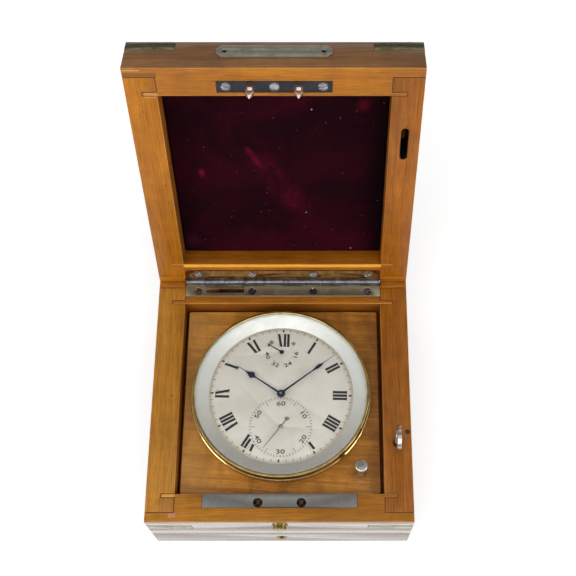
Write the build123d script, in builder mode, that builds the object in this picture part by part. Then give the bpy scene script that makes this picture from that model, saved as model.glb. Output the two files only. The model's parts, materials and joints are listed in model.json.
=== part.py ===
from build123d import *
from math import cos, radians, sin, tan
import os

# A chronometer box in three tiers: base, middle tier and lid. Millimetres.
# X runs to the right, the front faces -Y and Z is up. The origin is on the
# underside, in the middle of the box. The lid stands open, as it is shown.

os.makedirs("parts", exist_ok=True)

left = front = below = -1
right = rear = above = 1

# Box
board_margin = 7.2
base_height = 24.0
tier_height = 33.0
lid_height = 25.5
wall = 18.3
bottom_thickness = 5.0
bottom_rebate = 3.0
panel_rebate = 5.0
lid_recess = 12.1
lining_thickness = 3.4
fit_gap = 0.1
cut_past = 1.0

# Corner joints, seen on the rims
lip = 6.2
tongue = 2.5
tongue_length = 8.5

# Long hinges
lid_angle = 107.2
tier_angle = 70.0
bevel_gap = 0.5
hinge_inset = 1.5
knuckle_radius = 2.8
knuckle_count = 10
knuckle_gap = 0.2
pin_radius = 1.2
pin_gap = 0.05
leaf_reach = 11.2
leaf_thickness = 1.5
barrel_room = 0.4
hinge_screw_end = 8.7
hinge_screw_share = 0.362
hinge_screw_inset = 7.4

# Wood screws
screw_head = 2.8
screw_shank = 1.3
screw_head_depth = 1.2
screw_length = 9.0
screw_gap = 0.1
seat_gap = 0.05

# Corner straps
strap_length = 28.5
strap_thickness = 1.0
lid_strap_height = 8.2
tier_strap_height = 10.5
tier_strap_drop = 9.2

# Plate on the front of the lid
plate_width = 65.8
plate_height = 11.1
plate_corner = 3.2
plate_thickness = 1.0
plate_drop = 5.0
plate_screw_x = 28.0
plate_screw_head = 1.9
plate_screw_crest = 1.1
plate_screw_rise = 1.0

# Hooks of the lid, and the strike plate and latch of the middle tier
hook_plate_length = 65.4
hook_plate_width = 7.2
hook_plate_inset = 2.5
hook_plate_thickness = 1.5
hook_screw_x = 27.5
hook_x = 13.8
hook_inset = 5.7
hook_width = 4.6
hook_thickness = 2.6
hook_shoulder = 6.2
hook_length = 9.6
eye_width = 2.6
eye_top = 1.8
eye_height = 3.4
strike_length = 98.0
strike_width = 8.9
strike_thickness = 1.5
strike_hole = 3.0
pit_radius = 3.2
pit_room = 0.6
latch_bar_length = 33.0
latch_bar_width = 1.3
latch_thickness = 1.6
latch_lift = 0.3
latch_travel = 1.5
finger_width = 1.9
finger_reach = 1.6
tab_width = 8.0
tab_thickness = 1.3
tab_inset = 8.8
pocket_gap = 0.1
pocket_side = 1.0

# Push button
button_drop = 9.2
button_radius = 4.2
button_reach = 3.2
button_depth = 5.0
button_round = 0.7
button_stem = 2.0
button_room = 0.2
collar_radius = 4.9
collar_reach = 0.6
slide_gap = 0.05
stem_gap = 0.3
spring_half_span = 3.0
spring_strip = 0.4
spring_width = 3.0

# Key lock between base and middle tier
lock_width = 36.0
lock_depth = 11.0
lock_height = 18.2
lock_wall = 1.5
lock_face_length = 50.0
lock_face_thickness = 1.5
link_length = 40.0
link_thickness = 1.5
staple_width = 4.0
staple_depth = 6.6
staple_length = 9.0
staple_eye = 4.0
staple_bridge = 2.0
staple_room = 0.6
staple_chamfer = 0.8
bolt_length = 13.0
bolt_play = 0.3
shelf_gap = 0.1
keyhole_drop = 10.8
keyhole_radius = 2.5
keyhole_slot = 2.2
keyhole_length = 5.8
key_pin_radius = 1.1
escutcheon_wall = 0.9

# Board that carries the chronometer
board_gap = 2.2
board_drop = 9.0
board_thickness = 8.0
board_corner = 1.5
bowl_gap = 0.4
ledge_width = 5.5
ledge_height = 10.0
knob_side_inset = 15.0
knob_front_inset = 15.7
knob_radius = 4.0
knob_head = 3.2
knob_neck = 2.4
knob_foot = 3.6
knob_foot_height = 1.6
knob_chamfer = 0.5
knob_height = 19.0
knob_stem = 2.0
nut_height = 2.6
nut_radius = 4.0

# Bowl, bezel and glass
bowl_radius = 52.0
bowl_wall = 2.0
bowl_depth = 41.0
bowl_round = 9.0
collar_step = 3.0
collar_wall = 3.0
flange_width = 2.8
flange_thickness = 2.5
thread_length = 3.0
thread_relief = 0.5
bezel_gap = 0.05
bezel_wall = 3.4
bezel_taper = 0.5
bezel_lip = 0.6
knurl_depth = 1.1
knurl_bottom = 6.0
knurl_top = 10.0
knurl_edge = 0.4
glass_inset = 1.8
glass_cover = 0.6
glass_thickness = 1.2
glass_gap = 0.1
reflector_cover = 2.5
reflector_edge = 0.3
reflector_room = 0.3
reflector_under = 2.6
reflector_flare = 1.0

# Dial and hands
dial_rise = 10.0
dial_inset = 2.0
dial_thickness = 1.0
glass_rise = 4.6
seconds_share = 0.45
winding_share = 0.6
hour_angle = 304.0
minute_angle = 52.5
seconds_angle = 217.6
winding_angle = 302.0
hour_share = 0.654
minute_share = 0.9
seconds_hand_share = 0.374
winding_hand_share = 0.226
tail_share = 0.132
hand_root = 0.65
hour_leaf = 4.4
hour_waist = 0.35
hour_tip = 0.25
hour_waist_share = 0.6
hour_leaf_share = 0.7
hour_end_share = 0.88
minute_leaf = 2.3
minute_waist = 0.4
minute_tip = 0.2
minute_waist_share = 0.56
minute_leaf_share = 0.7
minute_end_share = 0.79
tip_slope = 0.15
small_hand_root = 0.45
small_hand_tip = 0.15
hand_thickness = 0.4
small_hand_rise = 0.4
hour_rise = 1.3
minute_rise = 2.3
boss_rise = 3.4
boss_radius = 1.9
boss_square = 1.5
cannon_radius = 0.9
cannon_length = 12.0
pipe_wall = 0.75
small_arbor = 0.6
small_boss = 1.5
small_arbor_length = 10.0
arbor_gap = 0.05
dial_hole_gap = 0.3

# Movement inside the bowl
pillar_plate_thickness = 3.0
back_plate_thickness = 2.5
pillar_length = 30.0
pillar_radius = 3.0
pillar_offset = 40.0
back_plate_radius = 45.0

# Winding key, standing in the right wall
key_side_inset = 9.2
key_y = -33.0
key_hole_radius = 2.7
key_pipe_radius = 2.2
key_pipe_bore = 1.1
key_pipe_depth = 22.0
key_bow_width = 17.0
key_bow_height = 14.5
key_bow_rise = 3.2
key_bow_bar = 3.4
key_bow_thickness = 2.6
key_neck = 2.0
key_hole_floor = 0.2
key_slot_length = 22.4
key_slot_width = 4.5
key_slot_depth = 20.0

# Worked out from the sizes above
thread_radius = bowl_radius + collar_step
flange_radius = thread_radius + flange_width
bezel_radius = thread_radius + bezel_wall
bezel_top_radius = bezel_radius - bezel_taper
knurl_radius = bezel_radius + knurl_depth
glass_radius = bezel_radius - glass_inset
glass_visible = glass_radius - glass_cover
dial_radius = bowl_radius - dial_inset
seconds_offset = dial_radius * seconds_share
winding_offset = dial_radius * winding_share
hour_length = dial_radius * hour_share
minute_length = dial_radius * minute_share
seconds_length = dial_radius * seconds_hand_share
seconds_tail = dial_radius * tail_share
winding_length = dial_radius * winding_hand_share
reflector_inner = dial_radius - reflector_cover
reflector_outer = glass_radius - reflector_room
reflector_waist = thread_radius - reflector_room
inner_width = 2 * (knurl_radius + board_margin)
inner_depth = inner_width
box_width = inner_width + 2 * wall
box_depth = inner_depth + 2 * wall
half_width = box_width / 2
half_depth = box_depth / 2
seam_z = base_height
rim_z = seam_z + tier_height
top_z = rim_z + lid_height
hinge_y = half_depth - hinge_inset
hinge_length = inner_width
hinge_screw_outer = hinge_length / 2 - hinge_screw_end
hinge_screw_inner = hinge_screw_outer * hinge_screw_share
panel_thickness = lid_height - lid_recess - lining_thickness
knuckle_length = hinge_length / knuckle_count
knuckle_clear = knuckle_radius + knuckle_gap
hook_y = -inner_depth / 2 - hook_inset
hook_plate_y = -inner_depth / 2 - hook_plate_inset - hook_plate_width / 2
strike_y = -inner_depth / 2 - strike_width / 2
finger_top = rim_z - eye_top - eye_height + latch_lift + latch_thickness
finger_base = finger_top - latch_thickness
bar_front = hook_y + hook_thickness / 2 + latch_lift
bar_rear = bar_front + latch_bar_width
pocket_rear = bar_rear + latch_travel + pocket_gap
tab_front = -inner_depth / 2 - tab_inset
tab_rear = tab_front + tab_thickness
collar_depth = button_depth + latch_travel + button_room
button_z = rim_z - button_drop
board_top = rim_z - board_drop
board_bottom = board_top - board_thickness
dial_z = board_top + dial_rise
collar_top = dial_z - dial_thickness
flange_top = board_top + flange_thickness
glass_z = dial_z + glass_rise
collar_inner = thread_radius - collar_wall
pillar_plate_bottom = collar_top - pillar_plate_thickness
lock_y = -half_depth + wall / 2
lock_cover = (wall - lock_depth) / 2
keyhole_z = seam_z - keyhole_drop
eye_bottom = seam_z - staple_length + staple_bridge
bolt_bottom = eye_bottom + bolt_play
bolt_height = staple_eye - 2 * bolt_play
plate_z = top_z - plate_drop - plate_height / 2
knob_x = inner_width / 2 - knob_side_inset
knob_y = knob_front_inset - inner_depth / 2
key_x = half_width - key_side_inset
low = (Align.CENTER, Align.CENTER, Align.MIN)
high = (Align.CENTER, Align.CENTER, Align.MAX)


def closed(plane):
    """A plane of the base or the middle tier, where it is."""
    return plane


def opened(plane):
    """A plane of the closed lid, turned back with the lid about its hinge."""
    axis = Location((0, hinge_y, rim_z))
    back = Location((0, -hinge_y, -rim_z))
    turn = Location((0, 0, 0), (-lid_angle, 0, 0))
    return Plane(axis * turn * back * plane.location)


def save(piece, label):
    """Labels a finished piece and writes it to its own file."""
    piece.part.label = label
    export_step(piece.part, f"parts/{label}.step")


def cut_box(place, x_span, y_span, z_span):
    """Cuts a rectangular space out of the part being made."""
    width = x_span[1] - x_span[0]
    depth = y_span[1] - y_span[0]
    with BuildSketch(place(Plane.XY.offset(z_span[0]))) as outline:
        with Locations(((x_span[0] + x_span[1]) / 2, (y_span[0] + y_span[1]) / 2)):
            Rectangle(width, depth)
    extrude(outline.sketch, amount=z_span[1] - z_span[0], mode=Mode.SUBTRACT)


def flat_screw(at, room=0, mode=Mode.ADD):
    """A countersunk screw with its head flush in the plane at."""
    with Locations(at):
        Cone(screw_shank + room, screw_head + room, screw_head_depth, align=high, mode=mode)
        Cylinder(screw_shank + room, screw_length + room, align=high, mode=mode)


# Walls

def end_wall(side, level, height, place=closed):
    """A front or rear wall, with the lip and tongues of its corner joints."""
    with BuildSketch(place(Plane.XY.offset(level))) as outline:
        with Locations((0, side * (half_depth - lip / 2))):
            Rectangle(box_width, lip)
        with Locations((0, side * (half_depth - wall / 2))):
            Rectangle(inner_width, wall)
        with Locations((0, side * (inner_depth / 2 + tongue / 2))):
            Rectangle(inner_width + 2 * tongue_length, tongue)
    extrude(outline.sketch, amount=height)


def side_wall(side, level, height, place=closed):
    """A left or right wall, between the lips of the end walls."""
    with BuildSketch(place(Plane.XY.offset(level))) as outline:
        with Locations((side * (half_width - wall / 2), 0)):
            Rectangle(wall, box_depth - 2 * lip)
        groove_x = side * (inner_width / 2 + tongue_length / 2)
        groove_y = inner_depth / 2 + tongue / 2
        with Locations((groove_x, groove_y), (groove_x, -groove_y)):
            Rectangle(tongue_length, tongue, mode=Mode.SUBTRACT)
    extrude(outline.sketch, amount=height)


def cut_rebate(level, height, depth, place=closed):
    """Cuts the step that a bottom or lid panel is let into."""
    reach_x = inner_width / 2 + depth
    reach_y = inner_depth / 2 + depth
    cut_box(place, (-reach_x, reach_x), (-reach_y, reach_y), (level, level + height))


def straps(level, height, place=closed, mode=Mode.ADD):
    """The four corner straps, or the recesses that they are let into."""
    with BuildSketch(place(Plane.XY.offset(level))) as outline:
        for x_side in (left, right):
            for y_side in (front, rear):
                corner_x = x_side * (half_width - strap_thickness / 2)
                corner_y = y_side * (half_depth - strap_thickness / 2)
                with Locations((x_side * (half_width - strap_length / 2), corner_y)):
                    Rectangle(strap_length, strap_thickness)
                with Locations((corner_x, y_side * (half_depth - strap_length / 2))):
                    Rectangle(strap_thickness, strap_length)
    extrude(outline.sketch, amount=height, mode=mode)


# Hinges

def hinge_screw_planes(place, level, side):
    """The planes of a leaf's screw heads, facing the other leaf."""
    screw_y = hinge_y - hinge_screw_inset
    xs = (-hinge_screw_outer, -hinge_screw_inner, hinge_screw_inner, hinge_screw_outer)
    return [place(Plane((x, screw_y, level), z_dir=(0, 0, -side))) for x in xs]


def knuckle_starts(side):
    """Where the knuckles of the lower or the upper leaf begin along the hinge."""
    first = 0 if side == below else 1
    places = range(first, knuckle_count, 2)
    return [i * knuckle_length - hinge_length / 2 for i in places]


def make_leaf(place, level, side, label):
    """One leaf of a long hinge, with every second knuckle of the barrel."""
    with BuildPart() as leaf:
        with BuildSketch(place(Plane.YZ.offset(-hinge_length / 2))):
            plate_y = hinge_y - (leaf_reach + knuckle_clear) / 2
            with Locations((plate_y, level + side * leaf_thickness / 2)):
                Rectangle(leaf_reach - knuckle_clear, leaf_thickness)
        extrude(amount=hinge_length)
        for start in knuckle_starts(side):
            with BuildSketch(place(Plane.YZ.offset(start + knuckle_gap / 2))):
                with Locations((hinge_y - knuckle_clear / 2, level + side * leaf_thickness / 2)):
                    Rectangle(knuckle_clear, leaf_thickness)
                with Locations((hinge_y, level)):
                    Circle(knuckle_radius)
                    Circle(pin_radius + pin_gap, mode=Mode.SUBTRACT)
            extrude(amount=knuckle_length - knuckle_gap)
        for at in hinge_screw_planes(place, level, side):
            flat_screw(at, screw_gap, Mode.SUBTRACT)
    save(leaf, label)


def make_hinge_pin(level, label):
    """The pin through all the knuckles of a hinge."""
    with BuildPart() as pin:
        with BuildSketch(Plane.YZ.offset(-hinge_length / 2)):
            with Locations((hinge_y, level)):
                Circle(pin_radius)
        extrude(amount=hinge_length)
    save(pin, label)


def cut_hinge_seat(place, level, side, opening):
    """Lets a leaf and its barrel into a rear wall and bevels the edge behind it."""
    leaf_y = (hinge_y - leaf_reach, half_depth + cut_past)
    depth = sorted((level, level + side * leaf_thickness))
    half_length = hinge_length / 2
    cut_box(place, (-half_length, half_length), leaf_y, depth)
    barrel_length = hinge_length + 2 * barrel_room
    with BuildSketch(place(Plane.YZ.offset(-barrel_length / 2))) as barrel:
        with Locations((hinge_y, level)):
            Circle(knuckle_radius + barrel_room)
    extrude(barrel.sketch, amount=barrel_length, mode=Mode.SUBTRACT)
    reach = hinge_inset + cut_past
    fall = side * reach * tan(radians(opening / 2 + bevel_gap))
    with BuildSketch(place(Plane.YZ.offset(-half_width))) as bevel:
        with BuildLine():
            corner = (hinge_y + reach, level)
            Polyline((hinge_y, level), corner, (corner[0], level + fall), close=True)
        make_face()
    extrude(bevel.sketch, amount=box_width, mode=Mode.SUBTRACT)
    for at in hinge_screw_planes(place, level, side):
        flat_screw(at, screw_gap, Mode.SUBTRACT)


# Base

def draw_keyhole(room=0):
    """A round head with a slot below it, drawn on a front plane."""
    length = keyhole_length + room
    with Locations((0, keyhole_z)):
        Circle(keyhole_radius + room)
    with Locations((0, keyhole_z - length / 2)):
        Rectangle(keyhole_slot + 2 * room, length)


def front_plane(distance):
    """An upright plane facing the front, this far in from the front face."""
    return Plane.XZ.offset(half_depth - distance)


def cut_lock_mortise():
    """The mortise of the lock in the top of the front wall, and its keyhole."""
    half = lock_width / 2
    y_span = (lock_y - lock_depth / 2, lock_y + lock_depth / 2)
    cut_box(closed, (-half, half), y_span, (seam_z - lock_height, seam_z))
    face = lock_face_length / 2
    cut_box(closed, (-face, face), y_span, (seam_z - lock_face_thickness, seam_z))
    with BuildSketch(front_plane(0)) as keyhole:
        draw_keyhole(escutcheon_wall + seat_gap)
    extrude(keyhole.sketch, amount=-lock_cover, mode=Mode.SUBTRACT)


def make_base():
    """The four walls and the bottom panel of the lower case."""
    with BuildPart() as wood_front:
        end_wall(front, 0, base_height)
        cut_rebate(0, bottom_thickness, bottom_rebate)
        cut_lock_mortise()
    save(wood_front, "base_front_wall")
    with BuildPart() as wood_rear:
        end_wall(rear, 0, base_height)
        cut_rebate(0, bottom_thickness, bottom_rebate)
        cut_hinge_seat(closed, seam_z, below, tier_angle)
    save(wood_rear, "base_rear_wall")
    for side, name in ((left, "left"), (right, "right")):
        with BuildPart() as wood_side:
            side_wall(side, 0, base_height)
            cut_rebate(0, bottom_thickness, bottom_rebate)
        save(wood_side, f"base_{name}_wall")
    panel_gain = 2 * (bottom_rebate - fit_gap)
    with BuildPart() as panel:
        with BuildSketch():
            Rectangle(inner_width + panel_gain, inner_depth + panel_gain)
        extrude(amount=bottom_thickness)
    save(panel, "bottom_panel")


def make_lock():
    """The lock let into the base, with its guides and the pin for a key."""
    floor_z = seam_z - lock_height
    cave_half = lock_width / 2 - lock_wall
    cave_y = (lock_y - lock_depth / 2 + lock_wall, lock_y + lock_depth / 2 - lock_wall)
    slot_x = staple_width / 2 + staple_room
    slot_y = staple_depth / 2 + staple_room
    face_z = seam_z - lock_face_thickness
    with BuildPart() as lock:
        with Locations((0, lock_y, floor_z)):
            Box(lock_width, lock_depth, lock_height, align=low)
        with Locations((0, lock_y, seam_z)):
            Box(lock_face_length, lock_depth, lock_face_thickness, align=high)
        cut_box(closed, (-cave_half, cave_half), cave_y, (floor_z + lock_wall, face_z))
        cut_box(closed, (-slot_x, slot_x), (lock_y - slot_y, lock_y + slot_y), (face_z, seam_z))
        with BuildSketch(Plane.XZ.offset(-lock_y)):
            draw_keyhole()
        extrude(amount=lock_depth / 2, mode=Mode.SUBTRACT)
        for side in (left, right):
            with Locations((side * (slot_x + cave_half) / 2, lock_y, bolt_bottom - shelf_gap)):
                Box(cave_half - slot_x, cave_y[1] - cave_y[0], lock_wall, align=high)
        with BuildSketch(Plane.XZ.offset(-cave_y[1])):
            with Locations((0, keyhole_z)):
                Circle(key_pin_radius)
        extrude(amount=lock_depth - lock_wall)
    save(lock, "lock_body")


def make_bolt():
    """The lock's bolt, drawn back so that the middle tier can open."""
    with BuildPart() as bolt:
        bolt_width = staple_eye - 2 * bolt_play
        with Locations((-staple_width / 2 - staple_room, lock_y, bolt_bottom)):
            Box(bolt_length, bolt_width, bolt_height, align=(Align.MAX, Align.CENTER, Align.MIN))
        chamfer(bolt.faces().sort_by(Axis.X)[-1].edges(), bolt_play)
    save(bolt, "lock_bolt")


def make_escutcheon():
    """The metal lining of the keyhole, flush with the front of the base."""
    depth = lock_cover - seat_gap
    with BuildPart() as lining:
        with BuildSketch(front_plane(0)) as outline:
            draw_keyhole(escutcheon_wall)
        extrude(outline.sketch, amount=-depth)
        with BuildSketch(front_plane(0)) as keyhole:
            draw_keyhole()
        extrude(keyhole.sketch, amount=-depth, mode=Mode.SUBTRACT)
    save(lining, "key_escutcheon")


def make_link_plate():
    """The plate under the middle tier, with the staple that the bolt holds."""
    with BuildPart() as link:
        with Locations((0, lock_y, seam_z)):
            Box(link_length, lock_depth, link_thickness, align=low)
            Box(staple_width, staple_depth, staple_length, align=high)
        chamfer(link.faces().sort_by(Axis.Z)[0].edges().filter_by(Axis.X), staple_chamfer)
        with Locations((0, lock_y, eye_bottom)):
            Box(staple_width, staple_eye, staple_eye, align=low, mode=Mode.SUBTRACT)
    save(link, "lock_link_plate")


# Middle tier

def cut_strike_seat():
    """The recess of the strike plate in the rim, flush with the inner edge."""
    half = strike_length / 2
    y_span = (-inner_depth / 2 - strike_width, -inner_depth / 2)
    cut_box(closed, (-half, half), y_span, (rim_z - strike_thickness, rim_z))


def cut_latch_pocket():
    """The pocket of the latch below the strike plate, and the button's bore."""
    half = latch_bar_length / 2 + pocket_side
    y_span = (tab_front - pocket_gap, pocket_rear)
    floor_z = finger_base - pocket_gap
    cut_box(closed, (-half, half), y_span, (floor_z, rim_z - strike_thickness))
    tab_half = tab_width / 2 + pocket_gap
    low_z = button_z - button_stem - 2 * pocket_gap
    cut_box(closed, (-tab_half, tab_half), y_span, (low_z - pocket_side, floor_z))
    for side in (left, right):
        with Locations((side * hook_x, hook_y, rim_z)):
            Cylinder(pit_radius, hook_length + pit_room, align=high, mode=Mode.SUBTRACT)
    with BuildSketch(front_plane(0)) as bore:
        with Locations((0, button_z)):
            Circle(collar_radius + seat_gap)
    extrude(bore.sketch, amount=-collar_depth, mode=Mode.SUBTRACT)
    with BuildSketch(front_plane(collar_depth)) as stem_bore:
        with Locations((0, button_z)):
            Circle(button_stem + stem_gap)
    extrude(stem_bore.sketch, amount=-(wall - collar_depth - tab_inset), mode=Mode.SUBTRACT)


def cut_link_seat():
    """The recess of the lock's link plate in the underside of the front wall."""
    half = link_length / 2
    y_span = (lock_y - lock_depth / 2, lock_y + lock_depth / 2)
    cut_box(closed, (-half, half), y_span, (seam_z, seam_z + link_thickness))


def cut_tier_straps():
    """The recesses of the corner straps in a wall of the middle tier."""
    straps(rim_z - tier_strap_drop - tier_strap_height, tier_strap_height, mode=Mode.SUBTRACT)


def make_tier():
    """The four walls of the middle tier, its corner straps and board ledges."""
    with BuildPart() as wood_front:
        end_wall(front, seam_z, tier_height)
        cut_strike_seat()
        cut_latch_pocket()
        cut_link_seat()
        cut_tier_straps()
    save(wood_front, "tier_front_wall")
    with BuildPart() as wood_rear:
        end_wall(rear, seam_z, tier_height)
        cut_hinge_seat(closed, rim_z, below, lid_angle)
        cut_hinge_seat(closed, seam_z, above, tier_angle)
        cut_tier_straps()
    save(wood_rear, "tier_rear_wall")
    for side, name in ((left, "left"), (right, "right")):
        with BuildPart() as wood_side:
            side_wall(side, seam_z, tier_height)
            cut_tier_straps()
            if side == right:
                with Locations((key_x, key_y, rim_z)):
                    depth = key_pipe_depth + key_hole_floor
                    Cylinder(key_hole_radius, depth, align=high, mode=Mode.SUBTRACT)
        save(wood_side, f"tier_{name}_wall")
    with BuildPart() as strap:
        straps(rim_z - tier_strap_drop - tier_strap_height, tier_strap_height)
    save(strap, "tier_corner_straps")
    ledge_plane = Plane.XY.offset(board_bottom - ledge_height)
    with BuildPart() as ledges:
        for side in (front, rear):
            with BuildSketch(ledge_plane):
                with Locations((0, side * (inner_depth - ledge_width) / 2)):
                    Rectangle(inner_width, ledge_width)
            extrude(amount=ledge_height)
        for side in (left, right):
            with BuildSketch(ledge_plane):
                with Locations((side * (inner_width - ledge_width) / 2, 0)):
                    Rectangle(ledge_width, inner_depth - 2 * ledge_width - 2 * fit_gap)
            extrude(amount=ledge_height)
    save(ledges, "board_ledges")


def make_strike_plate():
    """The plate in the rim with the two holes for the hooks."""
    with BuildPart() as strike:
        with BuildSketch(Plane.XY.offset(rim_z - strike_thickness)):
            with Locations((0, strike_y)):
                Rectangle(strike_length, strike_width)
            with Locations((-hook_x, hook_y), (hook_x, hook_y)):
                Circle(strike_hole, mode=Mode.SUBTRACT)
        extrude(amount=strike_thickness)
    save(strike, "strike_plate")


def make_latch_slide():
    """The bar behind the hooks, with a finger for each eye and a tab in front."""
    finger_y = bar_front - finger_reach / 2
    with BuildPart() as slide:
        with BuildSketch(Plane.XY.offset(finger_base)):
            with Locations((0, (bar_front + bar_rear) / 2)):
                Rectangle(latch_bar_length, latch_bar_width)
            with Locations((-hook_x, finger_y), (hook_x, finger_y)):
                Rectangle(finger_width, finger_reach)
            with Locations((0, (tab_front + bar_rear) / 2)):
                Rectangle(tab_width, bar_rear - tab_front)
        extrude(amount=latch_thickness)
        with BuildSketch(Plane.XY.offset(finger_base)):
            with Locations((0, (tab_front + tab_rear) / 2)):
                Rectangle(tab_width, tab_thickness)
        extrude(amount=-(finger_base - button_z + button_stem + pocket_gap))
    save(slide, "latch_slide")


def make_latch_spring():
    """The bowed strip that presses the latch and the button forwards."""
    ends_y = pocket_rear - seat_gap
    crown_y = tab_rear + seat_gap
    with BuildPart() as spring:
        with BuildSketch(Plane.XY.offset(button_z - spring_width / 2)):
            with BuildLine():
                span = spring_half_span
                outer = ThreePointArc((-span, ends_y), (0, crown_y), (span, ends_y))
                inner_span = span - spring_strip
                inner_crown = (0, crown_y + spring_strip)
                inner = ThreePointArc((-inner_span, ends_y), inner_crown, (inner_span, ends_y))
                Line(outer @ 0, inner @ 0)
                Line(outer @ 1, inner @ 1)
            make_face()
        extrude(amount=spring_width)
    save(spring, "latch_spring")


def make_button():
    """The push button on the front and the collar that it slides in."""
    with BuildPart() as button:
        with BuildSketch(front_plane(button_depth)):
            with Locations((0, button_z)):
                Circle(button_radius)
        extrude(amount=button_depth + button_reach)
        fillet(button.edges().sort_by(Axis.Y)[0], button_round)
        with BuildSketch(front_plane(button_depth)):
            with Locations((0, button_z)):
                Circle(button_stem)
        extrude(amount=-(wall - tab_inset - button_depth))
    save(button, "push_button")
    with BuildPart() as collar:
        with BuildSketch(front_plane(collar_depth)):
            with Locations((0, button_z)):
                Circle(collar_radius)
                Circle(button_radius + slide_gap, mode=Mode.SUBTRACT)
        extrude(amount=collar_depth + collar_reach)
    save(collar, "button_collar")


# Lid

def make_lid():
    """The four rails of the lid, its panel and the velvet lining."""
    with BuildPart() as rail_front:
        end_wall(front, rim_z, lid_height, opened)
        cut_rebate(top_z - panel_thickness, panel_thickness, panel_rebate, opened)
        half = hook_plate_length / 2
        y_span = (hook_plate_y - hook_plate_width / 2, hook_plate_y + hook_plate_width / 2)
        cut_box(opened, (-half, half), y_span, (rim_z, rim_z + hook_plate_thickness))
        straps(top_z - lid_strap_height, lid_strap_height, opened, Mode.SUBTRACT)
        for at in hook_screw_planes():
            flat_screw(at, screw_gap, Mode.SUBTRACT)
        for at in plate_screw_planes():
            with Locations(at):
                depth = screw_length + screw_gap
                Cylinder(screw_shank + screw_gap, depth, align=high, mode=Mode.SUBTRACT)
    save(rail_front, "lid_front_rail")
    with BuildPart() as rail_rear:
        end_wall(rear, rim_z, lid_height, opened)
        cut_rebate(top_z - panel_thickness, panel_thickness, panel_rebate, opened)
        cut_hinge_seat(opened, rim_z, above, lid_angle)
        straps(top_z - lid_strap_height, lid_strap_height, opened, Mode.SUBTRACT)
    save(rail_rear, "lid_rear_rail")
    for side, name in ((left, "left"), (right, "right")):
        with BuildPart() as rail_side:
            side_wall(side, rim_z, lid_height, opened)
            cut_rebate(top_z - panel_thickness, panel_thickness, panel_rebate, opened)
            straps(top_z - lid_strap_height, lid_strap_height, opened, Mode.SUBTRACT)
            if side == right:
                with BuildSketch(opened(Plane.XY.offset(rim_z))):
                    with Locations((key_x, key_y)):
                        SlotOverall(key_slot_length, key_slot_width, rotation=90)
                extrude(amount=key_slot_depth, mode=Mode.SUBTRACT)
        save(rail_side, f"lid_{name}_rail")
    panel_gain = 2 * (panel_rebate - fit_gap)
    with BuildPart() as panel:
        with BuildSketch(opened(Plane.XY.offset(top_z - panel_thickness))):
            Rectangle(inner_width + panel_gain, inner_depth + panel_gain)
        extrude(amount=panel_thickness)
    save(panel, "lid_panel")
    with BuildPart() as lining:
        with BuildSketch(opened(Plane.XY.offset(rim_z + lid_recess))):
            Rectangle(inner_width - 2 * fit_gap, inner_depth - 2 * fit_gap)
        extrude(amount=lining_thickness)
    save(lining, "lid_lining")
    with BuildPart() as strap:
        straps(top_z - lid_strap_height, lid_strap_height, opened)
    save(strap, "lid_corner_straps")


def hook_screw_planes():
    """The planes of the hook plate's screw heads, on the lid's rim."""
    xs = (-hook_screw_x, 0, hook_screw_x)
    return [opened(Plane((x, hook_plate_y, rim_z), z_dir=(0, 0, -1))) for x in xs]


def plate_screw_planes():
    """The planes under the heads of the number plate's two screws."""
    face_y = -half_depth - plate_thickness
    xs = (-plate_screw_x, plate_screw_x)
    return [opened(Plane((x, face_y, plate_z), z_dir=(0, -1, 0))) for x in xs]


def make_number_plate():
    """The bare plate on the front of the lid and its two round-headed screws."""
    with BuildPart() as plate:
        with BuildSketch(opened(front_plane(0))) as outline:
            with Locations((0, plate_z)):
                Rectangle(plate_width, plate_height)
            chamfer(outline.vertices(), plate_corner)
        extrude(amount=plate_thickness)
        for at in plate_screw_planes():
            with Locations(at):
                Cylinder(screw_shank + screw_gap, plate_thickness, align=high, mode=Mode.SUBTRACT)
    save(plate, "number_plate")
    with BuildPart() as screws:
        for at in plate_screw_planes():
            with Locations(at):
                Cone(plate_screw_head, plate_screw_crest, plate_screw_rise, align=low)
                Cylinder(screw_shank, screw_length, align=high)
    save(screws, "number_plate_screws")


def add_hook(x):
    """A pointed hook below the hook plate, with an eye for the latch finger."""
    half = hook_width / 2
    with BuildSketch(opened(Plane.XZ.offset(-hook_y - hook_thickness / 2))) as outline:
        with BuildLine():
            top_left = (x - half, rim_z)
            top_right = (x + half, rim_z)
            shoulder_z = rim_z - hook_shoulder
            tip = (x, rim_z - hook_length)
            Polyline(top_left, (x - half, shoulder_z), tip, (x + half, shoulder_z), top_right, close=True)
        make_face()
        with Locations((x, rim_z - eye_top - eye_height / 2)):
            Rectangle(eye_width, eye_height, mode=Mode.SUBTRACT)
    extrude(outline.sketch, amount=hook_thickness)


def make_hook_plate():
    """The plate under the lid's front rail, with its two hooks and screws."""
    with BuildPart() as hooks:
        with BuildSketch(opened(Plane.XY.offset(rim_z))):
            with Locations((0, hook_plate_y)):
                Rectangle(hook_plate_length, hook_plate_width)
        extrude(amount=hook_plate_thickness)
        for at in hook_screw_planes():
            flat_screw(at, screw_gap, Mode.SUBTRACT)
        for side in (left, right):
            add_hook(side * hook_x)
    save(hooks, "hook_plate")
    with BuildPart() as screws:
        for at in hook_screw_planes():
            flat_screw(at)
    save(screws, "hook_plate_screws")


# Board and bowl

def turned(x, y):
    """An upright plane through an axis, for a profile in radius and height."""
    return Plane((x, y, 0), x_dir=(1, 0, 0), z_dir=(0, -1, 0))


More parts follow.
